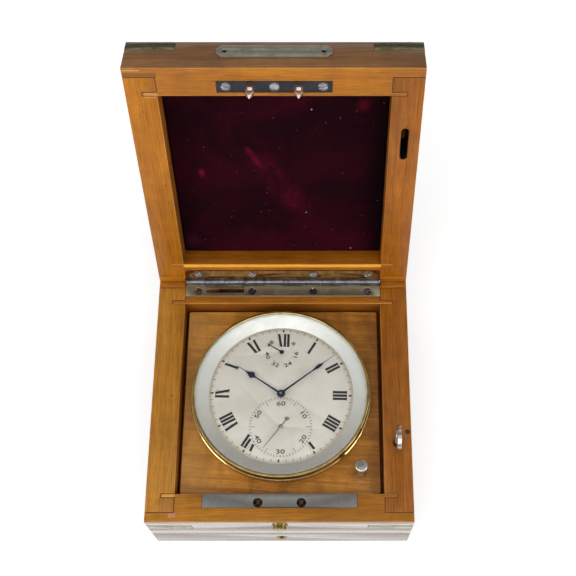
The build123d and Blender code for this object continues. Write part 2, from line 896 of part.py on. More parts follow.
def make_board():
    """The board that carries the chronometer, with its knob and nut."""
    board_width = inner_width - 2 * board_gap
    board_depth = inner_depth - 2 * board_gap
    with BuildPart() as board:
        with BuildSketch(Plane.XY.offset(board_bottom)):
            RectangleRounded(board_width, board_depth, board_corner)
            Circle(bowl_radius + bowl_gap, mode=Mode.SUBTRACT)
            with Locations((knob_x, knob_y)):
                Circle(knob_stem + fit_gap, mode=Mode.SUBTRACT)
        extrude(amount=board_thickness)
    save(board, "board")
    nut_top = board_bottom
    stem_bottom = nut_top - nut_height
    knob_top = board_top + knob_height
    with BuildPart() as knob:
        with BuildSketch(turned(knob_x, knob_y)):
            with BuildLine():
                foot = (knob_foot, board_top + knob_foot_height)
                waist = (knob_neck, (foot[1] + knob_top - knob_head) / 2)
                brow = (knob_radius, knob_top - knob_head)
                Polyline((0, stem_bottom), (knob_stem, stem_bottom), (knob_stem, board_top))
                Polyline((knob_stem, board_top), (knob_foot, board_top), foot)
                ThreePointArc(foot, waist, brow)
                edge = (knob_radius, knob_top - knob_chamfer)
                rim = (knob_radius - knob_chamfer, knob_top)
                Polyline(brow, edge, rim, (0, knob_top), (0, stem_bottom))
            make_face()
        revolve(axis=Axis((knob_x, knob_y, 0), (0, 0, 1)))
    save(knob, "lifting_knob")
    with BuildPart() as nut:
        with BuildSketch(Plane.XY.offset(stem_bottom)):
            with Locations((knob_x, knob_y)):
                RegularPolygon(nut_radius, 6)
                Circle(knob_stem + seat_gap, mode=Mode.SUBTRACT)
        extrude(amount=nut_height)
    save(nut, "knob_nut")


def make_bowl():
    """The bowl, with the flange that rests on the board and the threaded rim."""
    floor_z = board_top - bowl_depth
    inner = bowl_radius - bowl_wall
    round_in = bowl_round - bowl_wall
    corner = bowl_round * (1 - sin(radians(45)))
    corner_in = bowl_wall + round_in * (1 - sin(radians(45)))
    with BuildPart() as bowl:
        with BuildSketch(turned(0, 0)):
            with BuildLine():
                Line((0, floor_z), (bowl_radius - bowl_round, floor_z))
                middle = (bowl_radius - corner, floor_z + corner)
                out_start = (bowl_radius - bowl_round, floor_z)
                ThreePointArc(out_start, middle, (bowl_radius, floor_z + bowl_round))
                Polyline(
                    (bowl_radius, floor_z + bowl_round),
                    (bowl_radius, board_top),
                    (flange_radius, board_top),
                    (flange_radius, flange_top),
                    (thread_radius, flange_top),
                    (thread_radius, collar_top),
                    (collar_inner, collar_top),
                    (collar_inner, pillar_plate_bottom),
                    (inner, pillar_plate_bottom),
                    (inner, floor_z + bowl_round),
                )
                middle_in = (bowl_radius - corner_in, floor_z + corner_in)
                in_end = (inner - round_in, floor_z + bowl_wall)
                ThreePointArc((inner, floor_z + bowl_round), middle_in, in_end)
                Polyline(in_end, (0, floor_z + bowl_wall), (0, floor_z))
            make_face()
        revolve(axis=Axis.Z)
    save(bowl, "bowl")


def make_bezel():
    """The knurled bezel that screws on the bowl, and the glass that it holds."""
    bore = thread_radius + bezel_gap
    relief = bore + thread_relief
    skirt_z = flange_top + glass_gap
    thread_z = collar_top - thread_length
    shelf = glass_radius + glass_gap
    lip_z = glass_z + glass_thickness + glass_gap
    top = lip_z + bezel_lip
    low_knurl = board_top + knurl_bottom
    high_knurl = board_top + knurl_top
    with BuildPart() as bezel:
        with BuildSketch(turned(0, 0)):
            with BuildLine():
                Polyline(
                    (relief, skirt_z),
                    (bezel_radius, skirt_z),
                    (bezel_radius, low_knurl),
                    (knurl_radius, low_knurl + knurl_edge),
                    (knurl_radius, high_knurl - knurl_edge),
                    (bezel_radius, high_knurl),
                    (bezel_top_radius, top),
                    (glass_visible, top),
                    (glass_visible, lip_z),
                    (shelf, lip_z),
                    (shelf, collar_top),
                    (bore, collar_top),
                    (bore, thread_z),
                    (relief, thread_z),
                    close=True,
                )
            make_face()
        revolve(axis=Axis.Z)
    save(bezel, "bezel")
    with BuildPart() as glass:
        with BuildSketch(Plane.XY.offset(glass_z)):
            Circle(glass_radius)
        extrude(amount=glass_thickness)
    save(glass, "bezel_glass")


def make_reflector():
    """The silvered ring that slopes from the glass down to the dial."""
    base_z = dial_z + glass_gap
    crest_z = glass_z - 2 * glass_gap
    flare_z = dial_z + reflector_under
    with BuildPart() as ring:
        with BuildSketch(turned(0, 0)):
            with BuildLine():
                Polyline(
                    (reflector_inner, base_z),
                    (dial_radius + fit_gap, base_z),
                    (dial_radius + fit_gap, collar_top + fit_gap),
                    (reflector_waist, collar_top + fit_gap),
                    (reflector_waist, flare_z),
                    (reflector_outer, flare_z + reflector_flare),
                    (reflector_outer, crest_z),
                    (reflector_outer - reflector_edge, crest_z),
                    (reflector_inner, base_z + reflector_edge),
                    close=True,
                )
            make_face()
        revolve(axis=Axis.Z)
    save(ring, "reflector_ring")


# Dial and hands

def arbor_holes(centre_hole, small_hole):
    """The holes for the three arbors, in a dial or a plate."""
    Circle(centre_hole, mode=Mode.SUBTRACT)
    with Locations((0, -seconds_offset), (0, winding_offset)):
        Circle(small_hole, mode=Mode.SUBTRACT)


def make_dial():
    """The dial, resting on the plate of the movement."""
    pipe_radius = cannon_radius + arbor_gap + pipe_wall
    with BuildPart() as dial:
        with BuildSketch(Plane.XY.offset(collar_top)):
            Circle(dial_radius)
            arbor_holes(pipe_radius + dial_hole_gap, small_arbor + dial_hole_gap)
        extrude(amount=dial_thickness)
    save(dial, "dial")


def hand_plane(y, rise, angle):
    """A plane at a hand's height, its Y axis along the hand, clockwise from 12."""
    x_dir = (cos(radians(angle)), -sin(radians(angle)), 0)
    return Plane((0, y, dial_z + rise), x_dir=x_dir, z_dir=(0, 0, 1))


def draw_blade(waist, bulge, tip, length):
    """The outline of a hand, with a leaf between its shaft and its tip."""
    with BuildLine() as outline:
        shaft = Line((hand_root, 0), waist)
        leaf = Spline(waist, bulge, tip, tangents=(shaft % 1, (-tip_slope, 1)))
        Polyline(leaf @ 1, (0, length), (0, 0), (hand_root, 0))
    make_face(outline.edges())
    mirror(about=Plane.YZ)


def make_minute_hand():
    """The minute hand, with the arbor that carries both centre hands."""
    with BuildPart() as hand:
        with BuildSketch(hand_plane(0, minute_rise, minute_angle)):
            waist = (minute_waist, minute_length * minute_waist_share)
            bulge = (minute_leaf / 2, minute_length * minute_leaf_share)
            draw_blade(waist, bulge, (minute_tip, minute_length * minute_end_share), minute_length)
            Circle(boss_radius)
        extrude(amount=hand_thickness)
        with BuildSketch(hand_plane(0, minute_rise, minute_angle)):
            Circle(boss_radius)
        extrude(amount=(boss_rise - minute_rise) / 2)
        with BuildSketch(hand_plane(0, minute_rise, minute_angle)):
            Rectangle(boss_square, boss_square)
        extrude(amount=boss_rise - minute_rise)
        with BuildSketch(hand_plane(0, minute_rise, minute_angle)):
            Circle(cannon_radius)
        extrude(amount=-cannon_length)
    save(hand, "minute_hand")


def make_hour_hand():
    """The hour hand and its pipe, which turns on the minute arbor."""
    bore = cannon_radius + arbor_gap
    with BuildPart() as hand:
        with BuildSketch(hand_plane(0, hour_rise, hour_angle)):
            waist = (hour_waist, hour_length * hour_waist_share)
            bulge = (hour_leaf / 2, hour_length * hour_leaf_share)
            draw_blade(waist, bulge, (hour_tip, hour_length * hour_end_share), hour_length)
            Circle(boss_radius + pipe_wall)
            Circle(bore, mode=Mode.SUBTRACT)
        extrude(amount=hand_thickness)
        with BuildSketch(Plane.XY.offset(collar_top + seat_gap)):
            Circle(bore + pipe_wall)
            Circle(bore, mode=Mode.SUBTRACT)
        extrude(amount=dial_thickness + hour_rise - seat_gap)
    save(hand, "hour_hand")


def make_small_hand(y, angle, length, tail, label):
    """A small hand on its own arbor, with a round counterweight if it has a tail."""
    with BuildPart() as hand:
        with BuildSketch(hand_plane(y, small_hand_rise, angle)):
            with BuildLine():
                roots = ((-small_hand_root, -tail), (small_hand_root, -tail))
                Polyline(*roots, (small_hand_tip, length), (-small_hand_tip, length), close=True)
            make_face()
            Circle(small_boss)
            if tail:
                with Locations((0, -tail)):
                    Circle(small_boss)
        extrude(amount=hand_thickness)
        with BuildSketch(hand_plane(y, small_hand_rise, angle)):
            Circle(small_arbor)
        extrude(amount=-small_arbor_length)
    save(hand, label)


def make_movement():
    """The frame of the movement: two plates and the pillars between them."""
    with BuildPart() as plate:
        with BuildSketch(Plane.XY.offset(pillar_plate_bottom)):
            Circle(collar_inner - fit_gap)
            arbor_holes(cannon_radius + arbor_gap, small_arbor + arbor_gap)
        extrude(amount=pillar_plate_thickness)
    save(plate, "pillar_plate")
    with BuildPart() as pillars:
        with BuildSketch(Plane.XY.offset(pillar_plate_bottom)):
            with PolarLocations(pillar_offset, 4, start_angle=45):
                Circle(pillar_radius)
        extrude(amount=-pillar_length)
    save(pillars, "movement_pillars")
    with BuildPart() as back:
        with BuildSketch(Plane.XY.offset(pillar_plate_bottom - pillar_length)):
            Circle(back_plate_radius)
        extrude(amount=-back_plate_thickness)
    save(back, "back_plate")


def make_key():
    """The winding key, standing in its hole in the right wall."""
    bow_z = rim_z + key_bow_rise + key_bow_height / 2
    with BuildPart() as key:
        with BuildSketch(Plane.YZ.offset(key_x - key_bow_thickness / 2)):
            with Locations((key_y, bow_z)):
                Ellipse(key_bow_width / 2, key_bow_height / 2)
                eye_half = (key_bow_width / 2 - key_bow_bar, key_bow_height / 2 - key_bow_bar)
                Ellipse(eye_half[0], eye_half[1], mode=Mode.SUBTRACT)
        extrude(amount=key_bow_thickness)
        pipe_length = key_pipe_depth + key_bow_rise + key_neck
        with Locations((key_x, key_y, rim_z - key_pipe_depth)):
            Cylinder(key_pipe_radius, pipe_length, align=low)
            bore_side = 2 * key_pipe_bore
            Box(bore_side, bore_side, key_pipe_depth / 2, align=low, mode=Mode.SUBTRACT)
    save(key, "winding_key")


def make_hinges():
    """Both long hinges, with their pins and screws."""
    make_leaf(closed, seam_z, below, "base_hinge_leaf")
    make_leaf(closed, seam_z, above, "tier_hinge_leaf")
    make_leaf(closed, rim_z, below, "rim_hinge_leaf")
    make_leaf(opened, rim_z, above, "lid_hinge_leaf")
    make_hinge_pin(seam_z, "tier_hinge_pin")
    make_hinge_pin(rim_z, "lid_hinge_pin")
    groups = {
        "base_hinge_screws": hinge_screw_planes(closed, seam_z, below),
        "tier_hinge_screws": hinge_screw_planes(closed, seam_z, above)
        + hinge_screw_planes(closed, rim_z, below),
        "lid_hinge_screws": hinge_screw_planes(opened, rim_z, above),
    }
    for label, planes in groups.items():
        with BuildPart() as screws:
            for at in planes:
                flat_screw(at)
        save(screws, label)


make_base()
make_lock()
make_bolt()
make_escutcheon()
make_link_plate()
make_tier()
make_strike_plate()
make_latch_slide()
make_latch_spring()
make_button()
make_lid()
make_number_plate()
make_hook_plate()
make_board()
make_bowl()
make_bezel()
make_reflector()
make_dial()
make_minute_hand()
make_hour_hand()
make_small_hand(-seconds_offset, seconds_angle, seconds_length, seconds_tail, "seconds_hand")
make_small_hand(winding_offset, winding_angle, winding_length, 0, "up_down_hand")
make_movement()
make_key()
make_hinges()
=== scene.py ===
import json
import math

import bmesh
import bpy
from mathutils import Matrix, Vector

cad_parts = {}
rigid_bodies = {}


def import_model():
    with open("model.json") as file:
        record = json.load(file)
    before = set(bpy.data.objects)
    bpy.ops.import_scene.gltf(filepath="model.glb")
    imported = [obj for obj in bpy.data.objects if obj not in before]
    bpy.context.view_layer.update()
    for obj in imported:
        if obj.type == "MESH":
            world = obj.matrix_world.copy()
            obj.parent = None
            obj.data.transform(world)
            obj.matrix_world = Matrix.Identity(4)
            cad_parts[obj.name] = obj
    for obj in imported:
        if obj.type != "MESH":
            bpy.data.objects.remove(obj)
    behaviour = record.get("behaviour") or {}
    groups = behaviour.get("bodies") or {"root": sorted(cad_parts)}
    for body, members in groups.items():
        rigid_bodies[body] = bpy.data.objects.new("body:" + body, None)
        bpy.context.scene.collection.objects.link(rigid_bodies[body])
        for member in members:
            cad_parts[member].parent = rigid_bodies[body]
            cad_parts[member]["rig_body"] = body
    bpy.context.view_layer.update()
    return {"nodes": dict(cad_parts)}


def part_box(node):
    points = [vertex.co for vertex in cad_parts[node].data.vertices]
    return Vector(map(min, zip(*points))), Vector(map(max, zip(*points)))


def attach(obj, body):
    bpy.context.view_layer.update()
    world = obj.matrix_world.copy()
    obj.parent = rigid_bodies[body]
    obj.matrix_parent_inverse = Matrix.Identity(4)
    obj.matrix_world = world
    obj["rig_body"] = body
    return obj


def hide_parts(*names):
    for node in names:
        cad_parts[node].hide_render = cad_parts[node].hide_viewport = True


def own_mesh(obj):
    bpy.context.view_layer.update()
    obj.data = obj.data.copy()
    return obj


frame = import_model()
nodes = frame["nodes"]
mm = 0.001
weld = 2e-6
print("frame loaded,", len(nodes), "nodes")

# the open lid, turned back about its hinge
lidPose = {"hingeY": 83.5 * mm, "hingeZ": 57 * mm, "open": math.radians(-107.2)}
lidPivot = Vector((0, lidPose["hingeY"], lidPose["hingeZ"]))
lidTurn = (Matrix.Translation(lidPivot) @ Matrix.Rotation(lidPose["open"], 4, "X")
           @ Matrix.Translation(-lidPivot))
upright = Vector((0, 0, 1))


def lidWay(direction):
    # A direction of the closed box, as it is on the open lid.
    return (lidTurn.to_3x3() @ Vector(direction)).normalized()


# small helpers

def makeActive(piece):
    for item in list(bpy.context.selected_objects):
        item.select_set(False)
    piece.select_set(True)
    bpy.context.view_layer.objects.active = piece


def configure(item, **values):
    for name, value in values.items():
        setattr(item, name, value)
    return item


def made(name):
    # What the last call made, under its name.
    return configure(bpy.context.active_object, name=name)


def linked(name, data):
    item = bpy.data.objects.new(name, data)
    bpy.context.scene.collection.objects.link(item)
    return item


def joined(pieces, name):
    makeActive(pieces[0])
    for piece in pieces:
        piece.select_set(True)
    bpy.ops.object.join()
    return made(name)


def pick(piece, kind, test):
    # Edit mode, with only what passes the test selected.
    makeActive(piece)
    bpy.ops.object.mode_set(mode="EDIT")
    bpy.ops.mesh.select_mode(type=kind)
    bpy.ops.mesh.select_all(action="DESELECT")
    mesh = bmesh.from_edit_mesh(piece.data)
    items = {"FACE": mesh.faces, "EDGE": mesh.edges, "VERT": mesh.verts}[kind]
    for item in items:
        if test(item):
            item.select_set(True)
    mesh.select_flush_mode()
    bmesh.update_edit_mesh(piece.data)


def selectAll():
    bpy.ops.mesh.select_all(action="SELECT")


def leaveEdit():
    bpy.ops.object.mode_set(mode="OBJECT")


def applyModifiers(piece):
    makeActive(piece)
    for modifier in list(piece.modifiers):
        bpy.ops.object.modifier_apply(modifier=modifier.name)


def smooth(piece, angle=32):
    makeActive(piece)
    bpy.ops.object.shade_smooth_by_angle(angle=math.radians(angle))


def settle(piece, place=None):
    # Puts the piece's place into its mesh.
    bpy.context.view_layer.update()
    piece.data.transform((place or Matrix.Identity(4)) @ piece.matrix_world)
    piece.matrix_world = Matrix.Identity(4)


def softenEdges(piece, width, segments=2, angle=30, clamp=True, edgeSlot=-1):
    configure(piece.modifiers.new("softEdge", "BEVEL"), width=width * mm, segments=segments, limit_method="ANGLE",
              angle_limit=math.radians(angle), use_clamp_overlap=clamp, material=edgeSlot)
    applyModifiers(piece)


def pieceName(node):
    # A node's name in camelCase, without the words that the scene leaves out.
    first, *others = [word for word in node.split("_") if word not in ("wall", "rail", "corner")]
    return first + "".join(word.capitalize() for word in others)


def dressed(piece, node=None, finishes=(), body=None):
    # Finish, body and CAD node of a piece.
    for finish in finishes:
        piece.data.materials.append(finish)
    body = body or nodes[node]["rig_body"]
    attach(piece, body)
    if node:
        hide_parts(node)
    return piece


def copyOf(node, name, wholeFaces=True):
    # A welded copy of a CAD node, with whole faces again.
    piece = linked(name, nodes[node].data.copy())
    piece.data.materials.clear()
    makeActive(piece)
    bpy.ops.mesh.customdata_custom_splitnormals_clear()
    bpy.ops.object.mode_set(mode="EDIT")
    selectAll()
    bpy.ops.mesh.remove_doubles(threshold=weld)
    if wholeFaces:
        bpy.ops.mesh.dissolve_limited(angle_limit=math.radians(0.4))
    leaveEdit()
    return piece


def softCopy(node, width, finishes, segments=2, clamp=True, edgeSlot=-1, name=None):
    piece = copyOf(node, name or pieceName(node))
    for finish in finishes:
        piece.data.materials.append(finish)
    softenEdges(piece, width, segments, clamp=clamp, edgeSlot=edgeSlot)
    smooth(piece)
    return dressed(piece, node)


def tint(red, green, blue):
    # A colour as read off a screen, 0 to 255.
    def linear(value):
        value = value / 255
        return value / 12.92 if value <= 0.04045 else ((value + 0.055) / 1.055) ** 2.4
    return (linear(red), linear(green), linear(blue), 1)


def shaded(colour, factor=1.0, lift=0.0):
    return tuple(min(1, part * factor + lift) for part in tint(*colour)[:3]) + (1,)


# shader helpers

def setInputs(node, inputs):
    # Each input is linked where the value is a socket, or else set.
    for name, value in inputs.items():
        if isinstance(value, bpy.types.NodeSocket):
            node.id_data.links.new(value, node.inputs[name])
        else:
            node.inputs[name].default_value = value


def addNode(tree, kind, inputs=None, **settings):
    node = configure(tree.nodes.new("ShaderNode" + kind), **settings)
    setInputs(node, inputs or {})
    return node


def startFinish(name):
    material = bpy.data.materials.new(name)
    material.use_nodes = True
    tree = material.node_tree
    tree.nodes.clear()
    shader = addNode(tree, "BsdfPrincipled")
    addNode(tree, "OutputMaterial", {"Surface": shader.outputs["BSDF"]})
    return material, tree, shader


def objectPlace(tree, turn=(0, 0, 0), shift=(0, 0, 0)):
    where = addNode(tree, "TexCoord").outputs["Object"]
    return addNode(tree, "Mapping", {"Vector": where, "Rotation": turn, "Location": shift}).outputs["Vector"]


def stretch(tree, vector, amounts):
    return addNode(tree, "VectorMath", {0: vector, 1: amounts}, operation="MULTIPLY").outputs[0]


def noise(tree, vector, scale=1.0, detail=3.0, rough=0.55, warp=0.0):
    return addNode(tree, "TexNoise", {"Vector": vector, "Scale": scale, "Detail": detail, "Roughness": rough,
                                      "Distortion": warp}).outputs["Fac"]


def streaked(tree, vector, amounts, *values):
    # Noise that is drawn out along some of the axes.
    return noise(tree, stretch(tree, vector, amounts), 1, *values)


def spread(tree, value, low, high, toLow=0.0, toHigh=1.0):
    return addNode(tree, "MapRange", {"Value": value, "From Min": low, "From Max": high, "To Min": toLow,
                                      "To Max": toHigh}, interpolation_type="SMOOTHSTEP").outputs["Result"]


def sums(tree, kind, *values):
    return addNode(tree, "Math", dict(enumerate(values)), operation=kind).outputs[0]


def times(tree, first, second):
    return sums(tree, "MULTIPLY", first, second)


def blendColour(tree, amount, first, second):
    return addNode(tree, "Mix", {0: amount, 6: first, 7: second}, data_type="RGBA").outputs[2]


def layer(tree, colour, mask, amount, shade):
    # One more colour over the first, where the mask is.
    return blendColour(tree, times(tree, mask, amount), colour, shade)


def relief(tree, shader, height, strength, depth):
    bump = addNode(tree, "Bump", {"Strength": strength, "Distance": depth, "Height": height})
    setInputs(shader, {"Normal": bump.outputs["Normal"]})


def patchMask(tree, place, centre, reach, soft):
    # 1 inside a small rectangle, or a round spot, seen from above with the lid closed, in mm.
    parts = addNode(tree, "SeparateXYZ", {0: place})
    away = [sums(tree, "SUBTRACT", parts.outputs[axis], middle * mm) for axis, middle in zip("XY", centre)]
    if len(reach) == 1:
        square = sums(tree, "MULTIPLY_ADD", away[0], away[0], times(tree, away[1], away[1]))
        away = [sums(tree, "POWER", square, 0.5)]
    mask = 1.0
    for distance, half in zip(away, reach):
        distance = sums(tree, "ABSOLUTE", distance)
        mask = times(tree, mask, spread(tree, distance, max(0, half - soft) * mm, (half + soft) * mm, 1.0, 0.0))
    return mask


def closedPlace(tree, onLid):
    # Object coordinates, those of the open lid turned back to the closed box.
    back = lidTurn.inverted()
    return objectPlace(tree, back.to_euler(), back.to_translation()) if onLid else objectPlace(tree)


def addPatches(tree, colour, patches, onLid):
    place = closedPlace(tree, onLid)
    for centre, reach, soft, shade, amount in patches:
        colour = layer(tree, colour, patchMask(tree, place, centre, reach, soft), amount, tint(*shade))
    return colour


# The layers of noise in wood and metal: stretch along each axis, detail, roughness and distortion, then the
# noise where the layer begins and where it is full.
grainLayers = {
    "Fine": ((48, 1350, 1350), 5, 0.62, 0.5, 0.3, 0.7),
    "Broad": ((8, 190, 190), 4, 0.55, 1.0, 0.32, 0.68),
    "Figure": ((95, 42, 42), 3, 0.55, 0.6, 0.35, 0.65),
    "Pores": ((150, 2300, 2300), 2, 0.5, 0.0, 0.6, 0.72),
    "Stain": ((26, 34, 34), 5, 0.6, 0.3, 0.42, 0.72),
}
wearLayers = {
    "Blotch": ((170, 170, 170), 6, 0.62, 0.4, 0.38, 0.68),
    "Along": ((90, 2600, 1500), 2, 0.6, 0.7, 0.62, 0.72),
    "Across": ((2300, 120, 1700), 2, 0.6, 0.7, 0.65, 0.74),
    "Pits": ((1500, 1500, 1500), 3, 0.5, 0.0, 0.6, 0.75),
}


def startGroup(name, layers):
    # A group with the raw noise and the mask of each layer.
    group = bpy.data.node_groups.new(name, "ShaderNodeTree")
    group.interface.new_socket(name="Vector", in_out="INPUT", socket_type="NodeSocketVector")
    vector = group.nodes.new("NodeGroupInput").outputs["Vector"]
    raw, masks = {}, {}
    for label, (*values, low, high) in layers.items():
        raw[label] = streaked(group, vector, *values)
        masks[label] = spread(group, raw[label], low, high)
    return group, raw, masks


def endGroup(group, results):
    for label in results:
        group.interface.new_socket(name=label, in_out="OUTPUT", socket_type="NodeSocketFloat")
    setInputs(group.nodes.new("NodeGroupOutput"), results)
    return group


def useGroup(tree, group, vector):
    return addNode(tree, "Group", {"Vector": vector}, node_tree=group).outputs


def buildWoodGrain():
    # Grain that runs along X: fine streaks, broad bands, cross figure, pores and stains.
    group, raw, masks = startGroup("woodGrain", grainLayers)
    height = sums(group, "SUBTRACT", times(group, raw["Fine"], 0.5), times(group, masks["Pores"], 0.6))
    return endGroup(group, masks | {"Height": height})


def buildMetalWear():
    # Blotches, fine scratches and small pits of handled metal.
    group, raw, masks = startGroup("metalWear", wearLayers)
    scratch = sums(group, "MAXIMUM", masks.pop("Along"), masks.pop("Across"))
    height = sums(group, "ADD", times(group, scratch, -0.6), times(group, masks["Pits"], -0.8))
    return endGroup(group, masks | {"Scratch": scratch, "Height": height})


woodGrain = buildWoodGrain()
metalWear = buildMetalWear()


def woodFinish(name, pale, dark, turn, rough=0.42, coat=0.08, coatRough=0.25, bands=0.34, streaks=0.58,
               figure=0.16, stain=0.28, pores=0.5, bump=0.3, patches=(), onLid=False):
    material, tree, shader = startFinish(name)
    grain = useGroup(tree, woodGrain, objectPlace(tree, turn))
    lines = sums(tree, "MULTIPLY_ADD", grain["Fine"], streaks, times(tree, grain["Broad"], bands))
    colour = blendColour(tree, lines, tint(*dark), tint(*pale))
    shade = shaded(dark, 0.42)
    colour = layer(tree, colour, grain["Figure"], figure, shade)
    colour = layer(tree, colour, grain["Stain"], stain, shade)
    if patches:
        colour = addPatches(tree, colour, patches, onLid)
    setInputs(shader, {"Base Color": layer(tree, colour, grain["Pores"], pores, shade),
                       "Roughness": spread(tree, grain["Fine"], 0, 1, rough + 0.08, rough - 0.04),
                       "Specular IOR Level": 0.3, "Coat Weight": coat, "Coat Roughness": coatRough})
    relief(tree, shader, grain["Height"], bump, 0.0001)
    return material


def metalFinish(name, clean, dull, rough, dullRough, blotch, scratch=0.3, depth=0.00004, rubbed=None):
    material, tree, shader = startFinish(name)
    wear = useGroup(tree, metalWear, objectPlace(tree))
    colour = layer(tree, tint(*clean), wear["Blotch"], blotch, tint(*dull))
    colour = layer(tree, colour, wear["Scratch"], scratch, shaded(clean, 1.5))
    smoothness = spread(tree, wear["Blotch"], 0, 1, rough, dullRough)
    if rubbed:
        mask = patchMask(tree, objectPlace(tree), *rubbed)
        smoothness = times(tree, smoothness, spread(tree, mask, 0, 1, 1.0, 0.12))
    setInputs(shader, {"Base Color": layer(tree, colour, wear["Pits"], 0.5, shaded(dull, 0.3)), "Metallic": 1.0,
                       "Roughness": sums(tree, "MULTIPLY_ADD", wear["Scratch"], 0.12, smoothness)})
    relief(tree, shader, wear["Height"], 0.3, depth)
    return material


velvetPatches = [
    # centre, reach and softness in mm, colour, amount
    ((66, 0), (8, 80), 7, (8, 1, 3), 0.8),
    ((-48.7, -1.5), (0.8, 2.5), 2.2, (140, 22, 56), 0.45),
    ((51.6, -52.1), (2,), 4.5, (110, 10, 34), 0.4),
    ((-60, 56), (2,), 7, (66, 18, 50), 0.5),
    ((20.7, -49), (0.3,), 0.35, (220, 205, 205), 0.9),
    ((16.5, 31), (0.3,), 0.35, (200, 190, 190), 0.9),
    ((46.3, 63), (0.5,), 0.5, (170, 150, 150), 0.8),
]
rubbedStreaks = [
    # the same along a line at this angle
    ((-3.5, 6), (2, 26), 11, (88, 8, 30), 0.7),
    ((-6.3, -20), (0.3, 8), 2.6, (120, 16, 48), 0.7),
]
streakAngle = math.radians(30.6)


def velvetFinish():
    # Crimson pile, crushed and faded in patches, with a rubbed streak and dust on it.
    material, tree, shader = startFinish("velvetPile")
    place = closedPlace(tree, True)
    patches = spread(tree, noise(tree, place, 24, 4, 0.6, 0.6), 0.38, 0.7)
    faded = spread(tree, streaked(tree, place, (9, 13, 9), 3, 0.5, 0.3), 0.45, 0.75)
    nap = streaked(tree, place, (1500, 700, 1500), 3, 0.7)
    colour = blendColour(tree, patches, tint(24, 2, 8), tint(46, 3, 14))
    colour = layer(tree, colour, faded, 0.5, tint(68, 5, 24))
    turned = addNode(tree, "Mapping", {"Vector": place, "Rotation": (0, 0, streakAngle)}).outputs["Vector"]
    crushed = spread(tree, noise(tree, place, 60, 5, 0.7, 0.5), 0.25, 0.75)
    for centre, reach, soft, shade, amount in rubbedStreaks:
        mask = times(tree, patchMask(tree, turned, centre, reach, soft), crushed)
        colour = layer(tree, colour, mask, amount, tint(*shade))
    colour = addPatches(tree, colour, velvetPatches, True)
    colour = blendColour(tree, spread(tree, nap, 0.3, 0.62, 0.55, 0.0), colour, tint(14, 2, 8))
    specks = addNode(tree, "TexVoronoi", {"Vector": place, "Scale": 210}).outputs["Distance"]
    dust = times(tree, spread(tree, specks, 0.045, 0.075, 1.0, 0.0),
                 spread(tree, noise(tree, place, 60, 2), 0.45, 0.6))
    setInputs(shader, {"Base Color": layer(tree, colour, dust, 0.5, tint(150, 128, 132)), "Roughness": 0.9,
                       "Specular IOR Level": 0.05, "Sheen Weight": 0.07, "Sheen Roughness": 0.35,
                       "Sheen Tint": tint(190, 60, 110)})
    relief(tree, shader, sums(tree, "ADD", nap, times(tree, patches, 0.4)), 0.6, 0.0004)
    return material


def glassFinish():
    # Clear crystal that lets the light through to the dial.
    material, tree, shader = startFinish("crystal")
    rays = addNode(tree, "LightPath").outputs
    smears = noise(tree, objectPlace(tree), 90, 3, 0.6, 0.5)
    passing = sums(tree, "MAXIMUM", rays["Is Shadow Ray"], rays["Is Diffuse Ray"])
    setInputs(shader, {"Base Color": tint(250, 252, 250), "Transmission Weight": 1.0, "IOR": 1.46,
                       "Roughness": spread(tree, smears, 0.3, 0.7, 0.0, 0.03),
                       "Alpha": sums(tree, "SUBTRACT", 1.0, passing)})
    return material


dialTone = {"pale": (233, 227, 218), "warm": (221, 213, 201), "turned": (190, 180, 166),
            "edge": (176, 152, 112), "edgeFrom": 0.0435, "edgeTo": 0.0478}


def dialFinish():
    # Frosted silver, turned on the lathe and a little yellowed, most at its edge.
    material, tree, shader = startFinish("frostedSilver")
    place = objectPlace(tree)
    rings = addNode(tree, "TexWave", {"Vector": place, "Scale": 900, "Distortion": 1.5}, wave_type="RINGS",
                    rings_direction="Z").outputs["Fac"]
    cloud = noise(tree, place, 55, 4, 0.6)
    grain = noise(tree, place, 3200, 2, 0.6)
    colour = blendColour(tree, spread(tree, cloud, 0.35, 0.7), tint(*dialTone["pale"]), tint(*dialTone["warm"]))
    colour = layer(tree, colour, rings, 0.06, tint(*dialTone["turned"]))
    distance = addNode(tree, "VectorMath", {0: stretch(tree, place, (1, 1, 0))}, operation="LENGTH")
    edge = spread(tree, distance.outputs["Value"], dialTone["edgeFrom"], dialTone["edgeTo"], 0.0, 0.5)
    setInputs(shader, {"Base Color": blendColour(tree, edge, colour, tint(*dialTone["edge"])), "Metallic": 0.12,
                       "Roughness": spread(tree, cloud, 0.3, 0.7, 0.42, 0.52)})
    relief(tree, shader, sums(tree, "MULTIPLY_ADD", rings, 0.5, grain), 0.15, 0.00002)
    return material


def inkFinish(name, colour):
    # Wax filling of the engraved marks, slightly uneven.
    material, tree, shader = startFinish(name)
    fleck = noise(tree, objectPlace(tree), 900, 4, 0.7)
    worn = spread(tree, fleck, 0.55, 0.8, 0.0, 0.5)
    setInputs(shader, {"Base Color": blendColour(tree, worn, tint(*colour), shaded(colour, lift=0.08)),
                       "Roughness": spread(tree, fleck, 0.3, 0.7, 0.4, 0.6)})
    relief(tree, shader, fleck, 0.2, 0.00003)
    return material


